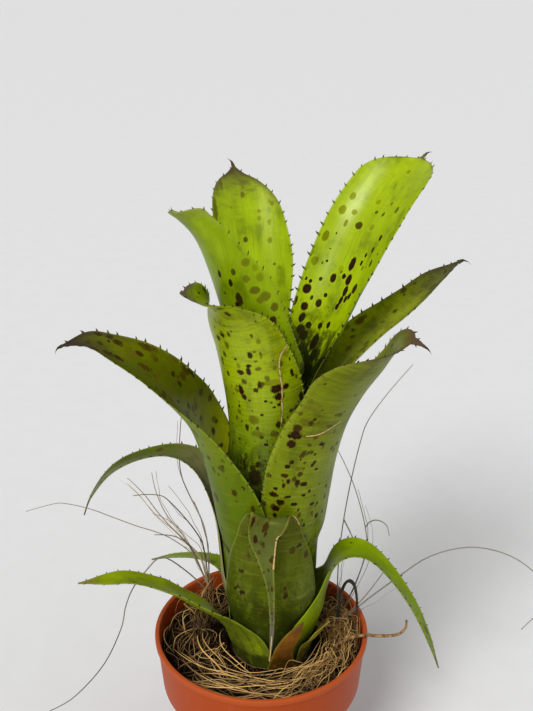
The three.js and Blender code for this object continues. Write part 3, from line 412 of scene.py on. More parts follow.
LEAVES = [
    dict(node="leaf_lower_left", azimuth=225, inset=0, mouth=10, wrap=[70, 45],
         midrib=[[24, -2, 18], [30, -6, 28], [39, -13, 37], [49, -22, 46], [61, -36, 51], [75.5, -52, 48]],
         width=[12, 11.5, 9.5, 7, 4.2, 0.3], roll=[35, 30, 30, 25, 20, 20],
         shift=[0, -0.15, -0.2, -0.15, 0, 0],
         inner=((0.18, 0.18, 0.008), (0.21, 0.28, 0.002)),
         outer=((0.12, 0.14, 0.012), (0.16, 0.22, 0.006)),
         tip=(0.20, 0.16, 0.03), tip_from=0.9,
         spots=4, spot_size=(0.6, 1.3), spot_tone=0.5, mottle_and_shade=(0.5, -0.4, 0.7), shine=0.04, bands=0.2,
         spines=14, spine_size=1.4),
    dict(node="leaf_lower_right", azimuth=352, inset=1.5, mouth=26, wrap=[80, 60],
         midrib=[[27, 0, 38], [30.5, 0, 50], [36.5, 0, 57], [45, 0, 57], [55, 0, 48], [67, 0, 31],
                 [77, 0, 10], [83, 0, -6]],
         width=[12, 10, 7.5, 6.5, 6, 5.5, 4, 0.3], roll=[34, 34, 35, 35, 30, 30, 25, 20],
         inner=((0.10, 0.13, 0.002), (0.18, 0.27, 0.001)),
         outer=((0.15, 0.19, 0.003), (0.20, 0.30, 0.002)),
         tip=(0.25, 0.15, 0.05), tip_from=0.93,
         spots=6, spot_size=(0.6, 1.6), spot_tone=0.5, mottle_and_shade=(0.1, -0.8, 0.5), shine=0.04, bands=0.3,
         spines=20, spine_size=1.4),
    dict(node="leaf_lower_back", azimuth=150, inset=3, mouth=14, wrap=[70, 40],
         midrib=[[23, 0, 30], [30, 0, 37], [43, 0, 36.5], [59, 0, 31], [72, 0, 24.5]],
         width=[9, 4.5, 3, 2.3, 0.3], roll=[35, 30, 25, 25, 20],
         inner=((0.12, 0.16, 0.01), (0.17, 0.25, 0.010)),
         outer=((0.12, 0.16, 0.01), (0.15, 0.22, 0.012)),
         tip=(0.12, 0.10, 0.03), tip_from=0.85,
         spots=2, spot_size=(0.5, 1), spot_tone=0.4, shine=0.15, bands=0.2, spines=14, spine_size=1.0),
    dict(node="leaf_folded_front", azimuth=268, inset=4.5, mouth=84, wrap=[58, 58, 55, 46, 30],
         midrib=[[29.5, 0, 91], [33, 0, 93], [35.5, -2.6, 87], [34.5, -1.3, 74], [34, 0.8, 56],
                 [34.5, 1.3, 36], [35, 0.2, 18]],
         width=[8.5, 5.4, 3.1, 1.9, 1.3, 0.9, 0.3], roll=[22, 25, 40, 50, 50, 50, 40],
         inner=((0.05, 0.06, 0.004), (0.095, 0.12, 0.022)),
         outer=((0.085, 0.115, 0.002), (0.072, 0.090, 0.001)),
         tip=(0.13, 0.11, 0.12), tip_from=0.62,
         cracks=[[(0.02, 0.97), (0.2, 0.97), (0.42, 0.9)], [(0.84, 0), (1, 0)]],
         spots=90, spot_size=(0.4, 1.6), spot_tone=0.75, mottle_and_shade=(0.0, -0.9, 0.7), stain=(-0.9, -0.2, 0.25),
         shine=0.1, bands=0.8, spines=16, spine_size=1.1),
    dict(node="leaf_arching_left", azimuth=158, inset=6, mouth=50, wrap=[85, 70, 42],
         midrib=[[28, 0, 74], [36.5, 0, 92], [50, 0, 97], [68, 0, 91.5], [85.5, 0, 79.5], [98.5, 0, 62.5],
                 [104, 0, 50]],
         width=[13, 10, 7, 6, 5.5, 3.5, 0.3], roll=[42, 38, 35, 30, 30, 25, 20],
         twist=[0, 0, 0, -4, -12, -20, -20], shift=[-0.05, -0.08, -0.05, 0, 0, 0, 0],
         inner=((0.40, 0.34, 0.17), (0.065, 0.090, 0.002)), rise=(0.12, 0.55),
         outer=((0.30, 0.27, 0.12), (0.12, 0.15, 0.020)),
         tip=(0.10, 0.10, 0.03), tip_from=0.9,
         spots=18, spot_size=(0.5, 1.4), spot_tone=0.5, mottle_and_shade=(0.1, -0.6, 0.5), shine=0.12, bands=0.4,
         spines=18, spine_size=1.4),
    dict(node="leaf_outer_left", azimuth=188, inset=7.5, mouth=64, wrap=[100, 95, 82],
         midrib=[[25.5, 0, 76], [28, 0, 92], [32, 0, 110], [38, 0, 129], [46, 0, 143], [56, 0, 154],
                 [69, 0, 163], [79, 0, 168], [91, 0, 166]],
         width=[33, 32, 30, 25.5, 19.2, 15, 11.4, 6.6, 0.3], roll=[76, 70, 64, 55, 48, 42, 38, 30, 20],
         twist=[0, 0, 0, -4, -16, -24, -24, -20, -15], shift=[0.08, 0.08, 0, -0.02, 0.03, 0.06, 0.1, 0.1, 0],
         # Painted light: the upper face's low colour is a real yellow green, made brighter and carried higher
         # by rise, to light the part that lies in the front leaf's shade.
         inner=((0.52, 0.58, 0.001), (0.105, 0.125, 0.001)), rise=(0.22, 0.6),
         outer=((0.10, 0.16, 0.002), (0.19, 0.27, 0.003)),
         tip=(0.034, 0.021, 0.020), tip_from=0.76,
         spots=190, spot_size=(0.5, 1.6), spot_tone=0.7, mottle_and_shade=(0.1, -0.4, 0.6), stain=(0.35, 0.7, 0.6),
         claw=(2.8, (0, 0, -1), 1.9), shine=0.06, bands=0.6, spines=21, spine_size=2.1),
    dict(node="leaf_outer_right", azimuth=322, inset=9, mouth=64, wrap=[105, 100, 84],
         midrib=[[25.5, 0, 76], [28, 0, 93], [31, 0, 112], [36.5, 0, 131], [45, 0, 148], [55.5, 0, 164],
                 [65, 0, 178.5], [73, 0, 177]],
         width=[30, 29.5, 28.5, 26.3, 23.8, 23.5, 20.5, 14], roll=[84, 80, 74, 70, 64, 58, 50, 40],
         twist=[0, 0, 0, 0, 2, 8, 16, 22], shift=[0, -0.02, -0.05, -0.06, -0.11, -0.25, -0.32, -0.15],
         rim=(2.5, 0.3), round_tip=0.12, tongue=(2.5, 7, 1.0), lean=0.4,
         inner=((0.10, 0.13, 0.002), (0.15, 0.19, 0.004)),
         outer=((0.045, 0.084, 0.001), (0.170, 0.218, 0.001)),
         tip=(0.085, 0.040, 0.034), tip_from=0.86,
         spots=230, spot_size=(0.35, 1.1), spot_tone=0.8, marks=[
             (0.59, -0.9, 1.1, 1, 0.5), (0.565, -0.76, 2.2, 1.9, 0.35), (0.535, -0.8, 1.8, 1.9, 0.7),
             (0.51, -0.77, 2.4, 2, 0.85), (0.5, -0.85, 1, 0.9, 0.8), (0.475, -0.77, 1.8, 1.9, 0.8),
             (0.655, -0.86, 1.2, 1.2, 0.3), (0.605, -0.57, 1.6, 1, 0.3), (0.62, -0.28, 1.3, 1, 0.5),
             (0.565, -0.3, 1.5, 1, 0.5), (0.515, -0.6, 1.2, 0.9, 0.35), (0.485, -0.27, 1.5, 0.8, 0.85),
             (0.39, -0.7, 1.1, 1, 0.9), (0.385, -0.53, 1.3, 1.1, 0.4), (0.4, -0.32, 0.7, 1, 0.85),
             (0.38, -0.22, 1, 0.7, 0.9), (0.355, -0.7, 1.6, 1, 0.7), (0.34, -0.95, 0.9, 1.2, 0.7),
             (0.335, -0.63, 0.8, 1.1, 1), (0.325, -0.38, 1.5, 1.2, 1), (0.3, -0.8, 1, 0.8, 1),
             (0.28, -0.37, 0.9, 0.8, 1), (0.275, -0.82, 2, 1.2, 0.9), (0.275, -0.6, 1.2, 0.7, 1),
             (0.265, -1, 0.9, 1.3, 1), (0.225, -0.98, 1.8, 1.7, 1), (0.248, -0.7, 1.8, 1.6, 1),
             (0.22, -0.76, 1.8, 1.4, 1), (0.245, -0.5, 1.5, 1, 0.95), (0.235, -0.2, 1.3, 0.9, 0.8),
             (0.23, -0.1, 0.7, 0.9, 0.8), (0.24, 0.07, 0.7, 1.3, 1),
         ],
         cracks=[[(0.515, -0.61), (0.525, -0.45), (0.535, -0.36), (0.55, -0.27), (0.58, -0.08)]],
         claw=(3, (0.6, 0, -1), 1.3), spot_spread=(0.25, 0.95), mottle_and_shade=(0.25, -0.25, 0.85),
         stain=(0.3, 0.6, 0.5), shine=0.12, gloss=(0.6, 0.4, 0.12), bands=1.1, spines=24, spine_size=1.8),
    dict(node="leaf_front_left", azimuth=240, inset=14, mouth=118, wrap=[105, 100, 82],
         midrib=[[20, -1, 140], [23, -3, 160], [28, -6, 178], [34, -9, 188.5], [41, -12, 193.5],
                 [47, -15, 198]],
         width=[27, 27, 24.2, 20.5, 11, 9], roll=[81, 78, 72, 58, 50, 45], twist=[0, 0, 0, -5, -25, -38],
         shift=[0, 0, -0.02, -0.04, 0, 0.1],
         round_tip=0.1, tongue=(3, 3, 0.5),
         inner=((0.15, 0.22, 0.002), (0.20, 0.29, 0.004)),
         outer=((0.06, 0.11, 0.002), (0.35, 0.45, 0.001)), rise=(-0.15, 0.45),
         tip=(0.11, 0.065, 0.070), tip_from=0.9,
         spots=230, spot_size=(0.35, 1.1), spot_tone=0.8, marks=[
             (0.465, 0.21, 1.2, 0.8, 0.8), (0.43, 0.02, 1.6, 1.1, 0.75), (0.445, 0.35, 1.4, 0.8, 0.5),
             (0.485, 0.36, 0.8, 0.5, 0.5), (0.535, 0.4, 0.8, 0.5, 0.5), (0.5, 0, 0.7, 0.7, 0.7),
             (0.38, 0.04, 1.2, 1.2, 0.6), (0.33, -0.05, 1.3, 2.5, 0.85), (0.365, 0.32, 1.5, 1.1, 0.6),
             (0.335, 0.21, 1.2, 1, 0.7), (0.33, 0.53, 2.6, 1.8, 0.85), (0.33, 0.68, 1.6, 1.1, 0.8),
             (0.29, 0.55, 2.2, 1.7, 0.95), (0.365, 0.48, 3.4, 1.2, 0.3), (0.475, 0.88, 1.5, 1.3, 0.35),
             (0.295, -0.01, 1.1, 1.4, 0.8), (0.275, 0.33, 0.8, 0.6, 0.9), (0.24, 0.45, 0.7, 0.5, 0.9),
             (0.25, 0.54, 1.2, 0.7, 0.8), (0.205, 0.25, 0.8, 0.6, 0.8), (0.175, 0.1, 2.2, 2.2, 0.45),
             (0.1, 0.14, 2.6, 1.6, 0.4), (0.1, 0.42, 1.7, 1.4, 0.5), (0.047, 0.28, 1, 0.8, 0.9),
             # The black mark at (-0.12, 0.1) in the sheath is painted shade, where this leaf meets the outer
             # right leaf.
             (-0.05, 0.15, 1.6, 1.2, 0.8), (-0.12, 0.1, 3, 4, 1), (0.25, 0.95, 1.6, 2.1, 0.9),
             (0.335, 1, 0.7, 1.4, 0.9), (0.37, 0.85, 0.8, 0.8, 0.7),
         ],
         cracks=[[(0.51, 0.99), (0.49, 0.83), (0.465, 0.74), (0.425, 0.67), (0.385, 0.64), (0.33, 0.62),
                  (0.265, 0.58), (0.195, 0.56), (0.16, 0.54)]],
         spot_spread=(0.3, 0.95), mottle_and_shade=(0.2, -0.3, 0.9), stain=(0.25, 0.55, 0.4), gloss=(0.9, 0.5, 0.25),
         bands=0.9, spines=22, spine_size=1.7),
    dict(node="leaf_back_right", azimuth=25, inset=15.6, mouth=100, wrap=[140, 115, 54],
         midrib=[[20, 0, 116], [26, 0, 134], [36, 0, 147], [50, 0, 158], [62, 0, 165], [73, 0, 172],
                 [84, 0, 180], [97, 0, 187]],
         width=[18, 18, 17, 15.3, 13.3, 10.6, 7, 0.3], roll=[56, 54, 50, 45, 40, 35, 30, 20],
         shift=[0, 0, -0.02, -0.05, -0.05, -0.03, 0, 0],
         inner=((0.42, 0.48, 0.002), (0.26, 0.31, 0.003)),
         outer=((0.12, 0.16, 0.004), (0.13, 0.17, 0.008)),
         tip=(0.045, 0.034, 0.026), tip_from=0.64,
         spots=90, spot_size=(0.5, 1.6), spot_tone=0.6, claw=(3.8, (0.1, 0, -1), 2.5), stain=(0.2, 0.6, 0.5),
         shine=0.15, bands=0.5, spines=20, spine_size=1.7),
    dict(node="leaf_inner_back", azimuth=107, inset=17.2, mouth=116, wrap=[140, 120, 60],
         midrib=[[20.5, 0, 134], [29, 0, 152], [40, -0.5, 180], [53, -2, 205], [70, -3.5, 226]],
         width=[16, 17.8, 19.3, 17.7, 15.5], roll=[56, 52, 46, 40, 35], shift=[0, -0.06, -0.18, -0.07, 0.08],
         round_tip=0.2, tongue=(5, 6, 1.4),
         inner=((0.25, 0.33, 0.002), (0.30, 0.42, 0.004)),
         outer=((0.18, 0.27, 0.004), (0.22, 0.33, 0.004)),
         tip=(0.060, 0.030, 0.022), tip_from=0.8,
         spots=46, spot_size=(0.4, 1.3), spot_tone=0.4, marks=[
             (0.865, -0.06, 1, 1.6, 0.45), (0.815, -0.8, 1.1, 1.1, 0.4), (0.68, -0.47, 1.2, 1.3, 0.4),
             (0.65, 0.5, 0.8, 1.2, 0.6), (0.615, 0.21, 1.1, 1.3, 0.4), (0.55, -0.15, 0.9, 2.4, 0.55),
             (0.59, -0.5, 0.6, 0.7, 0.55), (0.575, -0.62, 1, 1.2, 0.25), (0.69, 0.13, 1.1, 1.4, 0.6),
             (0.8, 0.92, 1.6, 5, 0.5), (0.9, 0.75, 1.2, 2, 0.35),
         ],
         claw=(3, (-1, 0, 0), 1.3), spot_spread=(0.35, 1.0), mottle_and_shade=(0.36, 0.15, 0.8), stain=(0.6, 1.1, 0.7),
         shine=0.15, gloss=(0.42, 0.6, 0.08), bands=0.2, spines=20, spine_size=1.5),
    dict(node="leaf_inner_right", azimuth=35, inset=18.8, mouth=126, wrap=[140, 125, 68],
         midrib=[[19.5, 0, 142], [30, 0, 159], [45, 0, 186], [57, 0, 207], [72, 0, 224], [83.5, 0, 235]],
         width=[18, 21.5, 23.6, 23.9, 22.8, 20.6], roll=[64, 60, 56, 54, 52, 45],
         shift=[0, 0, 0.01, 0, -0.01, -0.01], round_tip=0.14, tongue=(3, 4, 1.5), lean=-0.05,
         crease=(-0.45, 14, 0.45),
         inner=((0.34, 0.42, 0.001), (0.34, 0.46, 0.001)),
         outer=((0.20, 0.30, 0.004), (0.22, 0.34, 0.008)),
         tip=(0.13, 0.10, 0.020), tip_from=0.965,
         spots=60, spot_size=(0.3, 0.7), spot_tone=0.9, marks=[
             (0.405, 0.82, 1.9, 2.2, 1), (0.435, 0.8, 0.8, 0.9, 1), (0.35, 0.99, 1.3, 2.4, 0.85),
             (0.345, 0.75, 1.6, 1.9, 1), (0.305, 0.72, 1.3, 2.3, 1), (0.29, 0.52, 1.3, 1.6, 1),
             (0.265, 0.66, 1.9, 2.1, 1), (0.25, 0.55, 2, 2.4, 1), (0.245, 0.22, 1.7, 3.9, 1),
             (0.305, 0.25, 1.1, 1.5, 1), (0.32, 0.05, 1, 1.7, 1), (0.375, 0.48, 1.4, 1.9, 1),
             (0.41, 0.4, 0.9, 1.05, 1), (0.455, 0.62, 0.8, 1, 0.8), (0.475, 0.38, 1.4, 2.1, 0.8),
             (0.495, 0.17, 1, 1.3, 0.9), (0.49, 0.02, 1.5, 2.6, 0.9), (0.45, -0.02, 1.3, 2.5, 0.9),
             (0.415, 0, 1, 2, 0.9), (0.545, 0.1, 1.5, 3.3, 0.8), (0.39, 0.03, 0.95, 1.6, 1),
             (0.425, -0.12, 0.9, 1.7, 0.9), (0.44, -0.2, 0.9, 1.8, 0.9), (0.47, -0.27, 1.5, 2.3, 0.85),
             (0.505, 0.86, 1.6, 2, 0.35), (0.53, 0.99, 1.2, 1.8, 0.35), (0.6, 0.85, 1.4, 2.4, 0.45),
             (0.565, 0.67, 0.5, 0.5, 0.6), (0.515, 0.3, 1.2, 1.5, 0.2), (0.205, 0.07, 1.8, 2.8, 1),
             (0.19, -0.4, 3, 3, 1), (0.145, 0.05, 3, 3.5, 1), (0.2, 0.75, 1.5, 3, 1),
             (0.28, -0.45, 0.6, 2, 0.9), (0.675, 0.33, 1.7, 1.7, 0.65), (0.7, 0.78, 1.6, 2, 0.4),
             (0.755, 0.75, 1.2, 1.7, 0.35), (0.665, 0.6, 0.8, 1.7, 0.4), (0.71, 0.55, 1.2, 1.2, 0.35),
             (0.74, 0.12, 0.9, 0.9, 0.55), (0.74, -0.07, 0.7, 1.3, 0.6), (0.785, -0.12, 0.7, 1, 0.5),
             (0.765, -0.42, 1.2, 1.7, 0.55), (0.66, -0.38, 1.2, 1.4, 0.8), (0.615, -0.3, 0.9, 1.5, 0.8),
             (0.59, -0.15, 0.7, 1.2, 0.8), (0.56, -0.12, 0.8, 1.3, 0.8), (0.57, -0.45, 0.9, 1.8, 0.8),
             (0.545, -0.22, 0.8, 1.2, 0.4), (0.685, 0.03, 1.1, 1.5, 0.3), (0.775, 0.22, 1.2, 1.2, 0.3),
             (0.915, 0.03, 1, 1, 0.35),
         ],
         claw=(2.6, (1, 0, 0), 1.3), spot_spread=(0.3, 0.8), mottle_and_shade=(0.40, 0.18, 0.97), ragged=0.5,
         shine=0.15, gloss=(0.3, 0.5, 0.42), bands=0.1, spines=22, spine_size=1.7),
    dict(node="leaf_innermost", azimuth=205, inset=21, mouth=130, wrap=[150, 155, 155],
         midrib=[[15, 0, 150], [20, 0, 172], [26, 0, 195], [31, 0, 211], [36.8, 0, 221.8], [41.3, 0, 226.8]],
         width=[34, 32, 28, 24, 17.6, 11], roll=[128, 104, 85, 72, 60, 40], twist=[0, 0, 0, 3, 14, 38],
         shift=[0, 0, 0.07, 0.10, -0.14, -0.30], round_tip=0.04, tongue=(1.5, 2, 1),
         inner=((0.20, 0.30, 0.002), (0.24, 0.34, 0.006)),
         outer=((0.17, 0.27, 0.001), (0.23, 0.34, 0.001)),
         tip=(0.26, 0.30, 0.050), tip_from=0.9,
         spots=70, spot_size=(0.3, 0.7), spot_tone=0.7, marks=[
             (0.734, 0.83, 1.7, 1.5, 0.4), (0.705, 0.5, 1, 1.4, 0.6), (0.66, 0.33, 1, 1.7, 0.75),
             (0.672, 0.64, 1.4, 1.5, 0.4), (0.705, 0.9, 1, 1.2, 0.25), (0.665, 0.86, 1.4, 1.8, 0.3),
             (0.62, 0.68, 2, 1.6, 0.5), (0.585, 0.8, 2, 2, 0.45), (0.575, 0.71, 1.5, 1.6, 0.4),
             (0.588, 0.38, 1.5, 2.9, 0.7), (0.565, 0.32, 1, 1, 0.8), (0.695, 0.17, 0.8, 1.7, 0.8),
             (0.61, 0.12, 0.5, 1, 0.7), (0.53, 0.88, 1.5, 1.9, 0.5), (0.475, 0.79, 1.5, 1.9, 0.7),
             (0.79, 0.98, 1, 1.3, 0.3),
         ],
         claw=(1.6, (0, 0, 1), 1.3), spot_spread=(0.3, 0.75), mottle_and_shade=(0.4, 0.15, 0.8), stain=(0.7, 1.1, 0.3),
         ragged=0.8, bands=0.2, spines=20, spine_size=1.3),
]


def along(values, u):
    """Catmull-Rom curve through evenly spread values with its ends doubled, at the shares u of its length."""
    values = np.asarray(values, dtype=float)
    last = len(values) - 1
    place = np.clip(u, 0, 1) * last
    i = np.minimum(place.astype(int), last - 1)
    f = (place - i).reshape(i.shape + (1,) * (values.ndim - 1))
    a, b, c, d = (values[np.clip(i + k, 0, last)] for k in (-1, 0, 1, 2))
    leaving, arriving = (c - a) / 2, (d - b) / 2
    cubic = 2 * b - 2 * c + leaving + arriving
    square = 3 * c - 3 * b - 2 * leaving - arriving
    return cubic * f**3 + square * f**2 + leaving * f + b


def unit(vectors):
    """Vectors of length 1 with the same headings."""
    return vectors / np.linalg.norm(vectors, axis=-1, keepdims=True)


def lengths(line):
    """The length of a line of points from its start up to each of them."""
    return np.append(0, np.cumsum(np.linalg.norm(np.diff(line, axis=0), axis=1)))


def point_at(length, reached, line):
    """The points at the given lengths along a line whose own points lie at the lengths reached."""
    return np.stack([np.interp(length, reached, line[:, axis]) for axis in range(3)], axis=-1)


def tube_radius(height, inset):
    """The radius of the tube of sheaths at a height, less how far inside it a sheath lies."""
    return along(TUBE_RADII, np.asarray(height) / (TUBE_STEP * (len(TUBE_RADII) - 1))) - inset


def leaf_sections(leaf, s):
    """The leaf's cross sections at the places s, below 0 in the sheath and from 0 to 1 in the blade.
    In the sheath a section is an arc about the tube's axis; in the blade it is square to the midrib.
    Gives the middle, the directions across and inward, the half width, the roll and the length so far."""
    inset, mouth, mouth_roll = leaf["inset"], leaf["mouth"], leaf["wrap"][-1]
    foot = leaf.get("foot", FOOT_RISE * inset)
    mouth_radius = tube_radius(mouth, inset)
    before = mouth - FRAME_BLEND
    route = np.vstack([[tube_radius(before, inset), 0, before], [mouth_radius, 0, mouth], leaf["midrib"]])
    fine = along(route, np.linspace(1 / (len(route) - 1), 1, MIDRIB_STEPS + 1))
    reached = lengths(fine)
    at = lambda u: point_at(np.clip(u, 0, 1) * reached[-1], reached, fine)
    in_sheath = s < 0
    blade = np.maximum(s, 0)
    height = foot + (mouth - foot) * (s + 1)
    sheath_radius = tube_radius(height, inset)
    blend = np.clip(blade * reached[-1] / FRAME_BLEND, 0, 1)[:, None]
    heading = unit(at(blade + 0.008) - at(blade - 0.008))
    forward = unit(np.array([0, 0, 1.0]) * (1 - blend) + heading * blend)
    side = unit(np.array([0, 1.0, 0]) - forward * forward[:, 1:2])
    inward = np.cross(forward, side)
    twist = np.radians(along([0, *leaf["twist"]], blade))[:, None]
    across = side * np.cos(twist) + inward * np.sin(twist)
    inward = inward * np.cos(twist) - side * np.sin(twist)
    blade_roll = along([mouth_roll, *leaf["roll"]], blade)
    roll = np.radians(np.where(in_sheath, along(leaf["wrap"], s + 1), blade_roll))
    half = along([math.radians(mouth_roll) * mouth_radius, *leaf["width"]], blade)
    half = np.where(in_sheath, sheath_radius * roll, half)
    middle = np.where(in_sheath[:, None], np.stack([sheath_radius, 0 * s, height], axis=-1), at(blade))
    across = np.where(in_sheath[:, None], [0, 1.0, 0], across)
    inward = np.where(in_sheath[:, None], [-1.0, 0, 0], inward)
    length = (mouth - foot) * np.minimum(s + 1, 1) + blade * reached[-1]
    return middle, across, inward, half, roll, length, reached[-1]


def tip_share(leaf, s, half, blade_length):
    """How much of the half width is left near a rounded tip, sqrt(1 - (1 - u)^2) over its last stretch,
    with a narrower tongue or point that runs on from it."""
    if not leaf["round_tip"]:
        return np.ones_like(s)
    tongue_half, tongue_length, power = leaf["tongue"]
    tongue = tongue_length / blade_length
    left = np.clip((1 - s - 0.8 * tongue) / leaf["round_tip"], 0, 1)
    point = tongue_half / half * np.clip((1 - s) / tongue, 0, 1) ** power
    return np.maximum(np.sqrt(1 - (1 - left) ** 2), np.maximum(np.minimum(point, 1), 0.01))


def leaf_grid(leaf, s, t):
    """Points of the middle surface at every s and t. A section's heading turns by its roll from the midrib
    to each margin and by a crease's turn beyond the crease: phi(t) = roll t + c beyond(t), and the point
    is the sum of (cos phi, sin phi) times the half width from the midrib to t."""
    middle, across, inward, half, roll, length, blade_length = leaf_sections(leaf, s)
    crease_place, crease_turn, crease_start = leaf["crease"]
    crease = math.radians(crease_turn) * np.clip((s - crease_start) / CREASE_RUN, 0, 1)[:, None]
    fine = np.linspace(-SECTION_REACH, SECTION_REACH, 2 * SECTION_STEPS + 1)
    heading = roll[:, None] * fine + crease * (1 - np.tanh((fine - crease_place) / CREASE_SOFTNESS)) / 2
    step = fine[1] - fine[0]
    sums = []
    for part in (np.cos(heading), np.sin(heading)):
        steps = np.cumsum((part[:, 1:] + part[:, :-1]) / 2 * step, axis=1)
        total = np.concatenate([0 * part[:, :1], steps], axis=1)
        sums.append(total - total[:, SECTION_STEPS][:, None])
    share = tip_share(leaf, s, half, blade_length)[:, None]
    shift = along([0, *leaf["shift"]], np.maximum(s, 0))[:, None]
    place = shift + leaf["lean"] * (1 - share) + share * t[None, :]
    spot = np.clip((place + SECTION_REACH) * SECTION_STEPS / SECTION_REACH, 0, 2 * SECTION_STEPS - 0.001)
    low = spot.astype(int)
    rows = np.arange(len(s))[:, None]
    x, y = (total[rows, low] + (total[rows, low + 1] - total[rows, low]) * (spot - low) for total in sums)
    offset = x[..., None] * across[:, None] + y[..., None] * inward[:, None]
    points = middle[:, None] + half[:, None, None] * offset
    turn = math.radians(leaf["azimuth"])
    cos, sin = math.cos(turn), math.sin(turn)
    x, y, z = points[..., 0], points[..., 1], points[..., 2]
    points = np.stack([x * cos - y * sin, x * sin + y * cos, z], axis=-1) + PLANT_PLACE
    return points, place * half[:, None], share * half[:, None] * (1 - np.abs(t)), length


def placed(leaf, rows):
    """Rows that start with a place (s, t) on the leaf, with it turned into millimetres across and along."""
    rows = np.asarray(rows, dtype=float)
    _, across, _, length = leaf_grid(leaf, rows[:, 0], rows[:, 1])
    return np.column_stack([np.diagonal(across), length, rows[:, 2:]])


# Distances that stand for no spot and no crack near by.
NO_SPOT = 4.0
NO_CRACK = 9.0


def leaf_spots(leaf, half, length, random):
    """Spots drawn at random over the leaf, more of them low on the blade: places in millimetres across and
    along the leaf, two radii, and a tone from faint to dark."""
    count = leaf["spots"]
    first, last = leaf["spot_spread"]
    share = first + (last - first) * random.random(count) ** 1.4
    place = share * length[-1]
    across = (2 * random.random(count) - 1) * 0.92 * np.interp(place, length, half)
    low, high = leaf["spot_size"]
    radius = low + (high - low) * random.random(count) ** 1.8
    longer = 1 + 0.9 * random.random(count)
    tone = leaf["spot_tone"] * (1 - 0.75 * share * random.random(count))
    drawn = np.stack([across, place, radius, radius * longer, tone], axis=-1)
    return np.vstack([drawn, placed(leaf, leaf["marks"])]) if leaf["marks"] else drawn


def crack_field(leaf, x, y):
    """At every place the distance to the leaf's cracks, each a chain of straight stretches."""
    best = np.full(x.shape, NO_CRACK)
    for crack in leaf["cracks"]:
        across, place = placed(leaf, crack).T
        for x0, y0, dx, dy in zip(across, place, np.diff(across), np.diff(place)):
            u = np.clip(((x - x0) * dx + (y - y0) * dy) / (dx * dx + dy * dy), 0, 1)
            best = np.minimum(best, np.hypot(x - x0 - u * dx, y - y0 - u * dy))
    return best


def spot_field(spots, x, y):
    """At every place the least distance to a spot, as a share of that spot's radii, and that spot's tone."""
    best = np.full(x.shape, NO_SPOT)
    tone = np.zeros(x.shape)
    for across, place, wide, long, dark in spots:
        share = np.hypot((x - across) / wide, (y - place) / long)
        tone = np.where(share < best, dark, tone)
        best = np.minimum(best, share)
    return best, tone


SPINE_SIDES = 5
# Rings of a spine from its root to its tip: how far out, how wide, and how far bent, in spine sizes.
SPINE_RINGS = np.array([[-0.5, 0.55, 0.0], [0.25, 0.30, 0.08], [0.7, 0.13, 0.30], [1.0, 0.02, 0.62]])
SPINE_START = 0.36
HEADING_REACH = 1.5


def leaf_spines(leaf, surface, random):
    """Curved spines on both margins and the claw at the tip. Each is a cone of five sides about the curve
    root + size (out h + forward bend b), with the heights h, bends b and widths of SPINE_RINGS."""
    count = leaf["spines"]
    start = int(len(surface) * SPINE_START)
    sets = []
    for edge, next_in in ((0, 1), (-1, -2)):
        line = surface[start:, edge]
        reached = lengths(line)
        goal = (np.arange(count) + 0.25 + 0.5 * random.random(count)) / count * reached[-1] * 0.985
        root = point_at(goal, reached, line)
        ahead = point_at(goal + HEADING_REACH, reached, line)
        forward = unit(ahead - point_at(goal - HEADING_REACH, reached, line))
        out = root - point_at(goal, reached, surface[start:, next_in])
        out = unit(out - forward * np.sum(out * forward, axis=-1, keepdims=True))
        share = goal / reached[-1]
        size = leaf["spine_size"] * (1.1 - 0.4 * share) * (0.7 + 0.5 * random.random(count))
        sets.append((root, forward, out, size, 0.2 + 0.8 * share, np.ones(count), np.ones(count)))
    if leaf["claw"]:
        size, aim, bend = leaf["claw"]
        tip, before = surface[[-1, -5], surface.shape[1] // 2]
        out = unit(tip - before)
        aside = unit(aim - out * np.dot(aim, out))
        sets.append(([tip], [aside], [out], [size], [1.1], [bend], [0.6]))
    root, forward, out, size, share, bend, stout = (np.concatenate(column) for column in zip(*sets))
    flat = unit(np.cross(out, forward))
    root, forward, out, flat = (vectors[:, None, None] for vectors in (root, forward, out, flat))
    size, bend, stout = (values[:, None, None, None] for values in (size, bend, stout))
    height, width, curl = SPINE_RINGS.T[:, None, :, None, None]
    angle = np.linspace(0, 2 * np.pi, SPINE_SIDES, endpoint=False)[:, None]
    centre = root + size * (height * out + bend * curl * forward)
    ring = stout * width * (np.cos(angle) * forward + 0.5 * np.sin(angle) * flat)
    points = centre + size * ring
    total, rings = points.shape[:2]
    faces = grid_faces(rings, SPINE_SIDES, copies=total)[:, [0, 3, 2, 1]]
    foot = np.arange(total)[:, None] * rings * SPINE_SIDES
    roots = foot + np.arange(SPINE_SIDES)
    caps = foot + (rings - 1) * SPINE_SIDES + np.arange(SPINE_SIDES - 1, -1, -1)
    height = np.broadcast_to(height[..., 0], points.shape[:3]).ravel()
    data = np.stack([0 * height, np.repeat(share, rings * SPINE_SIDES), np.clip(height, 0, 1)], axis=-1)
    return points.reshape(-1, 3), faces, np.vstack([caps, roots]), data


WAX_TINT = (1, 1, 0.2, 1)
SCURF_GREY = (0.35, 0.41, 0.07)
STAIN_BROWN = (0.13, 0.075, 0.012)
SPOT_FAINT = (0.080, 0.050, 0.004)
SPOT_DARK = (0.014, 0.0025, 0.0018)
SPOT_HEART = (0.056, 0.006, 0.005)
# Dark olive of the mottling low on the leaves, which also serves as painted shade in the throat.
MOTTLE_AND_SHADE_OLIVE = (0.016, 0.022, 0.004)
SPECK_BROWN = (0.012, 0.008, 0.004)
MARGIN_PALE = (0.36, 0.40, 0.04)
SCAR_EDGE = (0.09, 0.045, 0.010)
SCAR_CORK = (0.72, 0.50, 0.20)
SPINE_BROWN = (0.020, 0.010, 0.008)


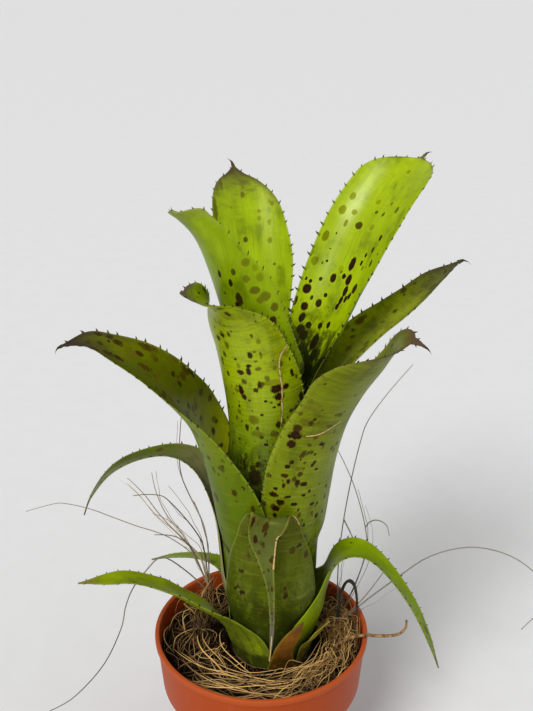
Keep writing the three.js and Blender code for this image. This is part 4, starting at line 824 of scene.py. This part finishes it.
def leaf_look(leaf):
    """The leaf's finish, from its attributes: place holds millimetres across, along and the side (0 the
    upper face, 1 the lower), marks the spots and the scar, edge the distance from the margin, the share of
    the blade and the height on a spine. Layers of colour lie over each other, each with its own mask."""
    wax = {"Specular IOR Level": leaf["shine"], "Specular Tint": WAX_TINT, "Coat Roughness": 0.28}
    look = Look(leaf["node"] + "_look", wax)
    place, _, _, side = look.attribute("place")
    _, spot, tone, scar = look.attribute("marks")
    _, edge, share, spine = look.attribute("edge")
    pattern = lambda scale, detail, rough=0.6: look.noise(look.stretch(place, scale), 1.0, detail, rough)
    vein = pattern((2.2, 0.035, 3), 3)
    fine_vein = pattern((5.5, 0.06, 3), 1, 0.5)
    band = pattern((0.035, 0.75, 3), 4)
    wrinkle = pattern((0.08, 0.75, 3), 2)
    cloud = pattern((0.09, 0.05, 1), 4)
    fleck = pattern((0.95, 0.55, 2), 2)
    mottle_and_shade = pattern((0.24, 0.13, 1), 5, 0.65)
    blot = pattern((0.11, 0.34, 1), 4, 0.7)
    rise = look.between(share, *leaf["rise"])
    inner, outer = (look.mix(rise, *leaf[face]) for face in ("inner", "outer"))
    dark = tuple(0.42 * c for c in leaf["outer"][1])
    light = tuple(1.35 * c + more for c, more in zip(leaf["inner"][1], (0.03, 0.03, 0.002)))
    scurf = look.between(band, 0.52, 0.68) * side * leaf["bands"]
    stain_from, stain_to, stain_share = leaf["stain"]
    stain = look.between(blot, 0.48, 0.66) * look.between(share, stain_from, stain_to)
    halo = look.between(spot, 1.8, 1.1) * tone
    rough = leaf["ragged"]
    ragged = spot + rough * (fleck - 0.5) + 0.3 * rough * (vein - 0.5)
    mark = look.between(ragged, 1.16 + 0.2 * rough, 1.0 - 0.2 * rough)
    deep = look.mix(look.between(tone, 0.35, 0.85), SPOT_FAINT, SPOT_DARK)
    deep = look.mix(0.6 * look.between(spot, 0.8, 0.0), deep, SPOT_HEART)
    # Painted shade: the mottle darkens the foot of the blade and the sheath towards dark olive. It is partly
    # the leaf's own mottling and partly the shade of the throat between the leaves.
    mottle_and_shade_from, mottle_and_shade_to, mottle_and_shade_share = leaf["mottle_and_shade"]
    patch = look.between(mottle_and_shade + 0.22 * look.between(share, mottle_and_shade_from, mottle_and_shade_to), 0.54, 0.68)
    patch = patch * look.between(share, mottle_and_shade_from + 0.1, mottle_and_shade_to)
    speck = look.between(fleck, 0.66, 0.72) * look.between(share, 0.55, 0.0)
    rim_width, rim_share = leaf["rim"]
    tip = share + 0.10 * (cloud - 0.5) + 0.05 * look.between(edge, 4, 0)
    tip = look.between(tip, leaf["tip_from"], 1.02)
    crack = scar + 0.6 * (fleck - 0.5)
    colour = look.mix(side, inner, outer)
    for mask, paint in (
        (0.70 * look.between(cloud, 0.50, 0.70), dark),
        (0.45 * look.between(cloud, 0.50, 0.32), light),
        (0.30 * look.between(vein, 0.48, 0.70), dark),
        (0.20 * look.between(fine_vein, 0.50, 0.75), light),
        (0.22 * scurf, SCURF_GREY),
        (stain_share * stain, STAIN_BROWN),
        (0.30 * halo, light),
        (mark * (0.15 + 0.85 * look.between(tone, 0.0, 0.8)), deep),
        (mottle_and_shade_share * patch, MOTTLE_AND_SHADE_OLIVE),
        (0.85 * leaf["spot_tone"] * speck, SPECK_BROWN),
        (rim_share * look.between(edge, rim_width, 0.2 * rim_width), MARGIN_PALE),
        (0.92 * tip, leaf["tip"]),
        (0.55 * look.between(crack, 0.9, 0.4), SCAR_EDGE),
        (0.9 * look.between(crack, 0.46, 0.24), SCAR_CORK),
        (look.between(spine, 0.02, 0.35), SPINE_BROWN),
    ):
        colour = look.mix(mask, colour, paint)
    roughness = 0.24 + 0.10 * vein + 0.08 * side + 0.12 * scurf + 0.10 * tip
    ridges = leaf["bands"] * side * (1.6 * wrinkle + 0.5 * band)
    height = 0.25 * vein + 0.06 * fine_vein + ridges - 0.20 * mark
    gloss_from, gloss_to, gloss_weight = leaf["gloss"]
    coat = gloss_weight * look.between(share, gloss_from, gloss_to) * (1 - mark)
    return look.finish({"Base Color": colour, "Roughness": roughness, "Coat Weight": coat}, height, 0.0002)


def add_leaf(leaf, name, slot, rows, columns, seed):
    """A closed blade: both faces of the middle surface, set apart along its normal by a thickness that
    thins towards the margins, thick (0.3 + 0.7 sqrt(1 - |t|^5)), with its spines in the same mesh."""
    leaf = {**PLAIN_LEAF, **leaf}
    random = np.random.default_rng(seed)
    s = np.concatenate([np.linspace(-1, 0, rows // 4, endpoint=False), np.linspace(0, 1, rows)])
    t = np.sin(np.linspace(-np.pi / 2, np.pi / 2, columns)) * 0.35 + np.linspace(-1, 1, columns) * 0.65
    surface, across, margin, length = leaf_grid(leaf, s, t)
    normal = unit(np.cross(np.gradient(surface, axis=0), np.gradient(surface, axis=1)))
    thick = LEAF_THICKNESS / 2 * (0.30 + 0.70 * np.sqrt(1 - np.abs(t) ** 5))[None, :, None]
    both = lambda outer, inner: np.concatenate([outer, inner[:, ::-1]], axis=1)
    loop = both(surface - normal * thick, surface + normal * thick)
    count, around = loop.shape[:2]
    j = np.arange(columns - 1)
    foot = np.stack([j, around - 1 - j, around - 2 - j, j + 1], axis=-1)
    tip = (count - 1) * around + foot[:, ::-1]
    faces = [*grid_faces(count, around).tolist(), *foot.tolist(), *tip.tolist()]
    flat = np.zeros_like(across)
    place = length[:, None] + flat
    spots = leaf_spots(leaf, np.abs(across).max(axis=1), length, random)
    share, tone = spot_field(spots, across, place)
    scar = crack_field(leaf, across, place)
    points = loop.reshape(-1, 3)
    data = {}
    for key, fields in (
        ("place", (both(across, across), both(place, place), both(flat + 1, flat))),
        ("marks", (both(share, share), both(tone, tone), both(scar, scar))),
        ("edge", (both(margin, margin), both(s[:, None] + flat, s[:, None] + flat), both(flat, flat))),
    ):
        data[key] = np.stack(fields, axis=-1).reshape(-1, 3)
    if leaf["spines"]:
        spine_points, spine_faces, spine_ends, spine_edge = leaf_spines(leaf, surface, random)
        faces += (spine_faces + len(points)).tolist() + (spine_ends + len(points)).tolist()
        points = np.vstack([points, spine_points])
        plain = np.ones((len(spine_points), 1))
        data["place"] = np.vstack([data["place"], plain * [0, 0, 1]])
        data["marks"] = np.vstack([data["marks"], plain * [NO_SPOT, 0, NO_CRACK]])
        data["edge"] = np.vstack([data["edge"], spine_edge])
    add_piece(name, points, faces, leaf_look(leaf), slot, [leaf["node"]], data)


# A blade with marks of its own has the finest grid, a narrow one the coarsest.
for order, leaf in enumerate(LEAVES):
    rows, columns = (220, 73) if "marks" in leaf else (200, 49) if max(leaf["width"]) > 12.5 else (130, 25)
    add_leaf(leaf, leaf["node"].removeprefix("leaf_") + "_leaf", "leaf", rows, columns, LEAF_SEED + order)

# ---------------------------------------------------------------- what is left of old leaves
# Two short pieces of old sheath hug the foot of the tube, one dried to an orange brown husk and one
# still yellow green. They are torn off above, and have no spines.

OLD_LEAVES = [
    dict(node="dried_sheath", azimuth=283, inset=-1.6, foot=-0.9, mouth=12, wrap=[20, 12],
         midrib=[[26.8, 1, 19], [28.8, 4.5, 27], [30, 8, 34]], width=[4.5, 3.5, 0.5], roll=[14, 12, 8],
         inner=((0.22, 0.08, 0.012), (0.26, 0.09, 0.015)),
         outer=((0.17, 0.062, 0.006), (0.26, 0.10, 0.012)),
         tip=(0.12, 0.05, 0.015), tip_from=0.6,
         spots=6, spot_size=(0.4, 0.9), spot_tone=0.4, bands=0.5),
    dict(node="old_sheath", azimuth=329, inset=-0.2, foot=0.2, mouth=12, wrap=[22, 22],
         midrib=[[26, 0, 16], [28.5, 1, 21], [31.5, 1, 25]], width=[8, 6, 0.5], roll=[20, 16, 10],
         inner=((0.20, 0.18, 0.02), (0.26, 0.24, 0.03)),
         outer=((0.24, 0.22, 0.012), (0.32, 0.28, 0.02)),
         tip=(0.30, 0.17, 0.05), tip_from=0.6,
         spots=5, spot_size=(0.4, 1.0), spot_tone=0.5, bands=0.6),
]
HUSK_SEED = 71

for leaf, slot in zip(OLD_LEAVES, ("dried_leaf", "old_leaf")):
    add_leaf(leaf, leaf["node"] + "_husk", slot, 60, 25, HUSK_SEED)

# ---------------------------------------------------------------- withered stub and surface root
# A withered leaf has shrunk to a dark strip that arches over the mulch, and one wiry brown root has
# grown out over the rim.


def sweep(routes, widths, heights, sides, segments, random):
    """Tubes along many routes at once. Each is a Catmull-Rom curve through its own points, with a ring of
    sides corners of the given width and height at every step, thinner at the far end: 1 - 0.45 u^2.
    routes has the shape (strands, points, 3). Gives the points and the faces."""
    routes = np.asarray(routes, dtype=float)
    count = len(routes)
    u = np.linspace(0, 1, segments + 1)
    line = along(np.swapaxes(routes, 0, 1), u)
    forward = unit(np.gradient(line, axis=0))
    lean = unit(random.normal(size=(count, 3)))
    first = unit(np.cross(forward, lean[None]))
    second = np.cross(forward, first)
    angle = np.linspace(0, 2 * np.pi, sides, endpoint=False)
    taper = (1 - 0.45 * u**2)[:, None, None, None]
    wide, high = (np.broadcast_to(size, count)[None, :, None, None] / 2 * taper for size in (widths, heights))
    ring = wide * np.cos(angle)[:, None] * first[:, :, None]
    ring = ring + high * np.sin(angle)[:, None] * second[:, :, None]
    points = np.swapaxes(line[:, :, None] + ring, 0, 1)
    start = np.arange(count)[:, None] * (segments + 1) * sides
    ends = np.vstack([start + np.arange(sides - 1, -1, -1), start + segments * sides + np.arange(sides)])
    return points.reshape(-1, 3), grid_faces(segments + 1, sides, copies=count).tolist() + ends.tolist()


def dry_look(name, dark, light, scale):
    """A matt dry skin, streaked along the height from dark to light."""
    look = Look(name, {"Specular IOR Level": 0.3})
    grain = look.noise(look.place((1, 1, 0.35)), scale, 4, 0.6)
    colour = look.mix(look.between(grain, 0.32, 0.7), dark, light)
    return look.finish({"Base Color": colour, "Roughness": 0.6 + 0.3 * grain}, grain, 0.0004)


random = np.random.default_rng(3)
STUB_ROUTE = [
    [37.5, 6, 83.4], [39, 6.5, 98], [40.5, 7, 108], [43, 7, 112], [45.8, 7, 110], [47.4, 6.5, 103],
    [47.8, 5, 92],
]
ROOT_ROUTE = [
    [36, -8, 84.4], [44, -9, 90.4], [51, -9.5, 92.3], [58, -10, 92.2], [66, -10, 93], [70, -9, 96],
    [70.5, -8, 100],
]
WITHERED = dry_look("withered", (0.008, 0.008, 0.005), (0.06, 0.055, 0.035), 500)
ROOT_SKIN = dry_look("root_skin", (0.08, 0.035, 0.010), (0.42, 0.24, 0.09), 700)
for name, slot, node, route, width, height, look in (
    ("withered_stub", "withered_leaf", "dried_leaf_stub", STUB_ROUTE, 2.3, 1.0, WITHERED),
    ("wiry_root", "root", "surface_root", ROOT_ROUTE, 1.8, 1.8, ROOT_SKIN),
):
    add_piece(name, *sweep([route], width, height, 10, 60, random), look, slot, [node])

# ---------------------------------------------------------------- coir mulch
# Loose coconut fibre lies in a nest round the plant on a dark matted bed. A tuft of it stands up beside
# the tube on the left, long whiskers spray out of it, and more of them stand at the right.

MULCH_BOTTOM = 79.7
MULCH_TOP = 82.2
MULCH_INNER = 21.6
MULCH_OUTER = 48.6
NEST_INNER = 23
ROUND = (0, 2 * np.pi)
BED_DROP = 0.9
BED_WAVES = 26
WAVE_RISE = 0.55
CRUMB_RISE = 0.5
ROOTED = 1.2
KINK = 0.25
TUFT_KINK = 1.5


def mulch_place(angle, share, inner):
    """A place between the plant and the pot's wall: share 0 on a circle about the plant, 1 on the pot's."""
    reach = np.sqrt(MULCH_OUTER**2 - (PLANT_PLACE[0] * np.sin(angle)) ** 2) - PLANT_PLACE[0] * np.cos(angle)
    radius = inner + (reach - inner) * share
    return np.stack([PLANT_PLACE[0] + radius * np.cos(angle), radius * np.sin(angle)], axis=-1)


def bed_points(random):
    """A ring whose top is a sum of small waves with crumbs, z = top + waves, and whose underside is flat."""
    sides, steps = 240, 40
    angle = np.linspace(0, 2 * np.pi, sides, endpoint=False)[:, None] + np.zeros((1, steps))
    share = np.linspace(0, 1, steps)[None, :] + 0 * angle
    flat = mulch_place(angle, share, MULCH_INNER)
    wave = np.zeros_like(angle)
    for _ in range(BED_WAVES):
        turn, long, phase = random.random() * 2 * np.pi, 1.2 + 7 * random.random(), random.random() * 6.3
        way = flat[..., 0] * np.cos(turn) + flat[..., 1] * np.sin(turn)
        wave += np.sin(way * 2 * np.pi / long + phase) / 8
    crumb = random.random(angle.shape)
    height = MULCH_TOP - BED_DROP + WAVE_RISE * wave + CRUMB_RISE * crumb
    top = np.concatenate([flat, height[..., None]], axis=-1)
    low = np.concatenate([flat[:, ::-1], np.full((sides, steps, 1), MULCH_BOTTOM)], axis=-1)
    loop = np.concatenate([top, low[:, ::steps - 1]], axis=1)
    return loop.reshape(-1, 3), grid_faces(sides, loop.shape[1], closed=True).tolist()


def drawn(limits, random, shape, power=1):
    """Random numbers between two limits, low + (high - low) r^power, so a power over 1 favours the low."""
    return limits[0] + (limits[1] - limits[0]) * random.random(shape) ** power


def nest_routes(count, crest, span, arc, reach, wander, random):
    """Arcs that lie round the plant with both ends in the bed: the angle runs over span, the share of the
    way to the wall wanders, and the height is a hump sin(pi u) of the given crest with small kinks."""
    u = np.linspace(0, 1, 5)[None, :]
    start = drawn(arc, random, (count, 1))
    turn = drawn(span, random, (count, 1)) * np.where(random.random((count, 1)) < 0.5, -1, 1)
    begin, end = (drawn(reach, random, (count, 1)) for _ in range(2))
    share = begin + (end - begin) * u + wander * random.normal(size=(count, 5))
    place = mulch_place(start + turn * u, np.clip(share, 0, 1), NEST_INNER)
    hump = drawn(crest, random, (count, 1), 1.5) * np.sin(np.pi * u) ** 0.7
    height = MULCH_TOP - ROOTED + hump + KINK * random.normal(size=(count, 5)) * np.sin(np.pi * u)
    return np.concatenate([place, height[..., None]], axis=-1)


def near_routes(routes, copies, spread, shortest, random):
    """Copies of routes that leave from the same root and part from them, offset = spread u^1.3 with kinks,
    cut to a share of their length between the shortest and 1. The routes themselves come first."""
    u = np.linspace(0, 1, 10)
    made = [along(route, u) for route in routes]
    for number in range(copies):
        kept = drawn((shortest, 1), random, None)
        offset = spread * random.normal(size=3) * u[:, None] ** 1.3 + KINK * random.normal(size=(10, 3))
        made.append(along(routes[number % len(routes)], u * kept) + offset)
    return np.array(made)


def bundle_routes(count, foot, foot_radius, top, top_radius, height, random):
    """Short strands that stand up from a disc round the foot and draw together round the top: the axis
    foot + (top - foot) u end plus a place on the disc, whose radius goes from one to the other."""
    angle, reach = 2 * np.pi * random.random(count), np.sqrt(random.random(count))
    ring = np.stack([reach * np.cos(angle), reach * np.sin(angle), 0 * angle], axis=-1)
    u = np.linspace(0, 1, 7)[None, :, None]
    radius = foot_radius + (top_radius - foot_radius) * u
    end = drawn(height, random, (count, 1, 1), 1.5)
    axis = np.array(foot) + (np.array(top) - np.array(foot)) * u * end
    return axis + ring[:, None] * radius + TUFT_KINK * random.normal(size=(count, 7, 3)) * np.sqrt(u)


def coir_look(name, deep=0.0814, lit=0.0862):
    """Fibre that goes from brown to gold, or to a greyer tan, with painted shade that darkens it from the
    height lit down to deep, where strands lie under others.
    """
    look = Look(name, {"Specular IOR Level": 0.35})
    _, tone, grey, _ = look.attribute("fibre")
    grain = look.noise(look.place(), 900, 3, 0.6)
    shade = look.between(tone + 0.5 * (grain - 0.5), 0.0, 1.0)
    gold = look.mix(shade, (0.075, 0.024, 0.005), (0.86, 0.53, 0.17))
    tan = look.mix(shade, (0.075, 0.065, 0.045), (0.34, 0.30, 0.21))
    height = look.node("ShaderNodeSeparateXYZ", {}, {"Vector": look.place()}, 2)
    # Painted shade: strands low in the nest are darkened towards near black by their height alone.
    painted_shade = 0.85 * look.between(height, lit, deep)
    colour = look.mix(painted_shade, look.mix(grey, gold, tan), (0.012, 0.006, 0.003))
    return look.finish({"Base Color": colour, "Roughness": 0.45 + 0.3 * grain}, grain, 0.0001)


def bed_look():
    """The dark crumbly mat under the strands, with a few lighter threads."""
    look = Look("coir_bed", {"Specular IOR Level": 0.05})
    here = look.place()
    crumb = look.noise(here, 700, 4, 0.65)
    thread = look.noise(look.place((1, 4, 2)), 260, 3, 0.7)
    colour = look.mix(look.between(crumb, 0.4, 0.75), (0.003, 0.0018, 0.001), (0.024, 0.011, 0.004))
    colour = look.mix(0.4 * look.between(thread, 0.64, 0.72), colour, (0.12, 0.06, 0.025))
    return look.finish({"Base Color": colour, "Roughness": 0.9 + 0.1 * crumb}, crumb, 0.0012)


def add_strands(name, groups, nodes, look, random):
    """One piece of many strands, from groups of (routes, thickness, sides, segments, tone, grey)."""
    points, faces, data = [], [], []
    start = 0
    for routes, thickness, sides, segments, tones, grey in groups:
        width = drawn(thickness, random, len(routes), 1.5)
        part_points, part_faces = sweep(routes, width, width * 0.8, sides, segments, random)
        tone = np.repeat(drawn(tones, random, len(routes)), (segments + 1) * sides)
        points.append(part_points)
        faces += [[corner + start for corner in face] for face in part_faces]
        data.append(np.stack([tone, 0 * tone + grey, 0 * tone], axis=-1))
        start += len(part_points)
    add_piece(name, np.vstack(points), faces, look, "coir", nodes, {"fibre": np.vstack(data)})


def laid(layer, random):
    """The group of strands of one layer: how many, crest, span, arc, reach, wander, then how they look."""
    return nest_routes(*layer[:6], random), *layer[6:], 0


random = np.random.default_rng(8)
add_piece("coir_bed", *bed_points(random), bed_look(), "coir", ["coir_mulch"])

NEST_LAYERS = [
    (150, (0.3, 2.0), (0.3, 1.5), ROUND, (0, 1), 0.02, (0.2, 0.42), 4, 16, (0.0, 0.4)),
    (84, (0.8, 4.5), (0.2, 1.6), ROUND, (0, 1), 0.04, (0.25, 0.6), 5, 18, (0.15, 0.9)),
    (34, (1.5, 6), (0.6, 1.9), (3.5, 6.0), (0.1, 1), 0.05, (0.4, 0.75), 5, 26, (0.5, 1.0)),
    (46, (1.5, 8), (0.1, 0.9), (3.2, 6.4), (0, 1), 0.12, (0.3, 0.6), 5, 20, (0.0, 0.85)),
    (30, (4, 12), (0.3, 1.0), (4.7, 6.5), (0.3, 1), 0.06, (0.35, 0.65), 5, 26, (0.2, 1.0)),
    (14, (2, 6.5), (0.8, 2.1), (3.2, 6.2), (0, 0.4), 0.04, (0.35, 0.6), 5, 28, (0.75, 1.0)),
    (170, (0.6, 3), (0.1, 0.7), (0, 6.3), (0, 0.7), 0.14, (0.2, 0.45), 4, 16, (0.0, 0.45)),
    (110, (2, 12), (0.1, 0.8), (-0.9, 0.9), (0.2, 1), 0.06, (0.2, 0.5), 4, 18, (0.0, 0.75)),
    (60, (2, 12), (0.1, 0.6), (2.0, 3.4), (0.2, 1), 0.06, (0.25, 0.55), 4, 18, (0.1, 0.85)),
]
nest_groups = [laid(layer, random) for layer in NEST_LAYERS]
add_strands("coir_nest", nest_groups, ["coir_mulch"], coir_look("coir_fibre"), random)

TUFT_WHISKERS = [
    [[-26, 5, 110], [-34, 9, 127], [-45, 12, 134], [-54, 14, 137], [-68, 17, 140], [-79, 18, 145],
     [-95, 19, 149], [-103, 20, 148], [-116, 20, 144]],
    [[-26, 5, 110], [-29, 8, 124], [-37, 12, 132], [-48, 15, 143], [-57, 18, 155], [-65, 20, 163]],
    [[-26, 5, 110], [-28, 9, 130], [-33, 11, 140], [-41, 13, 150], [-49, 14, 157], [-62, 15, 156]],
    [[-26, 5, 110], [-37, 12, 133], [-46, 16, 144], [-51, 18, 156], [-53, 20, 166]],
    [[-26, 5, 110], [-26, 12, 125], [-29, 24, 134], [-35, 32, 143], [-40, 36, 154], [-41, 37, 168],
     [-39, 37, 190]],
    [[-26, 5, 110], [-34, 8, 130], [-42, 10, 136], [-52, 10, 137]],
    [[-26, 4, 108], [-36, 1, 122], [-47, -3, 133], [-55, -6, 127], [-61, -8, 119], [-65, -9, 109],
     [-68, -10, 96], [-78, -10, 74], [-94, -10, 54], [-107, -10, 45]],
]
tuft_routes = bundle_routes(130, (-30, 2, 81), 6.5, (-26, 5, 112), 2.5, (0.3, 1.15), random)
tuft_groups = [
    (tuft_routes, (0.3, 0.7), 4, 14, (0.0, 0.7), 0),
    (near_routes(TUFT_WHISKERS, 0, 0, 1, random), (0.65, 0.85), 5, 40, (0.2, 0.8), 0.9),
    (near_routes(TUFT_WHISKERS[1:6], 12, 4, 0.3, random), (0.3, 0.5), 4, 24, (0.2, 1.0), 0.7),
]
add_strands("coir_tuft_fibres", tuft_groups, ["coir_tuft"], coir_look("tuft_fibre", 0.086, 0.106), random)

TANGLE_WHISKERS = [
    [[39, 15, 85], [39, 22, 101], [40, 25, 122], [43, 25, 150], [48, 25, 180], [54, 25, 197], [71, 25, 221]],
    [[40, 15, 85], [47, 20, 98], [53, 24, 117], [52, 25, 133], [45, 25, 158], [37, 25, 176]],
    [[41.4, 25, 136], [45, 23, 129], [49, 21, 119]],
    [[52.2, 25, 131], [54, 24, 135], [58, 23, 137], [62.5, 22, 134.5], [64, 21, 129]],
    [[41, 11, 85], [46, 8, 93], [54, 6, 103], [64, 5, 113], [81, 3, 129], [100, 1, 136], [119, 0, 132],
     [133, -3, 122], [137, -7, 110], [126, -10, 96]],
    [[40, 11, 85], [46, 7.5, 95], [52, 6.5, 104], [60, 6, 118]],
]
TANGLE_LAYER = (120, (3, 15), (0.05, 0.5), (-0.15, 0.65), (0.2, 1), 0.12, (0.2, 0.5), 4, 20, (0.0, 0.7))
copied = [TANGLE_WHISKERS[number] for number in (0, 1, 5)]
tangle_groups = [
    laid(TANGLE_LAYER, random),
    (near_routes(TANGLE_WHISKERS, 0, 0, 1, random), (0.65, 0.85), 5, 40, (0.2, 0.9), 1),
    (near_routes(copied, 8, 5, 0.1, random), (0.25, 0.45), 4, 20, (0.2, 1.0), 1),
]
add_strands("coir_tangle", tangle_groups, ["coir_strands"], coir_look("tangle_fibre"), random)

size = {
    "solids": [list(map(float, corner)) for corner in solid_box],
    "visual": [list(map(float, corner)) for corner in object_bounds()],
}
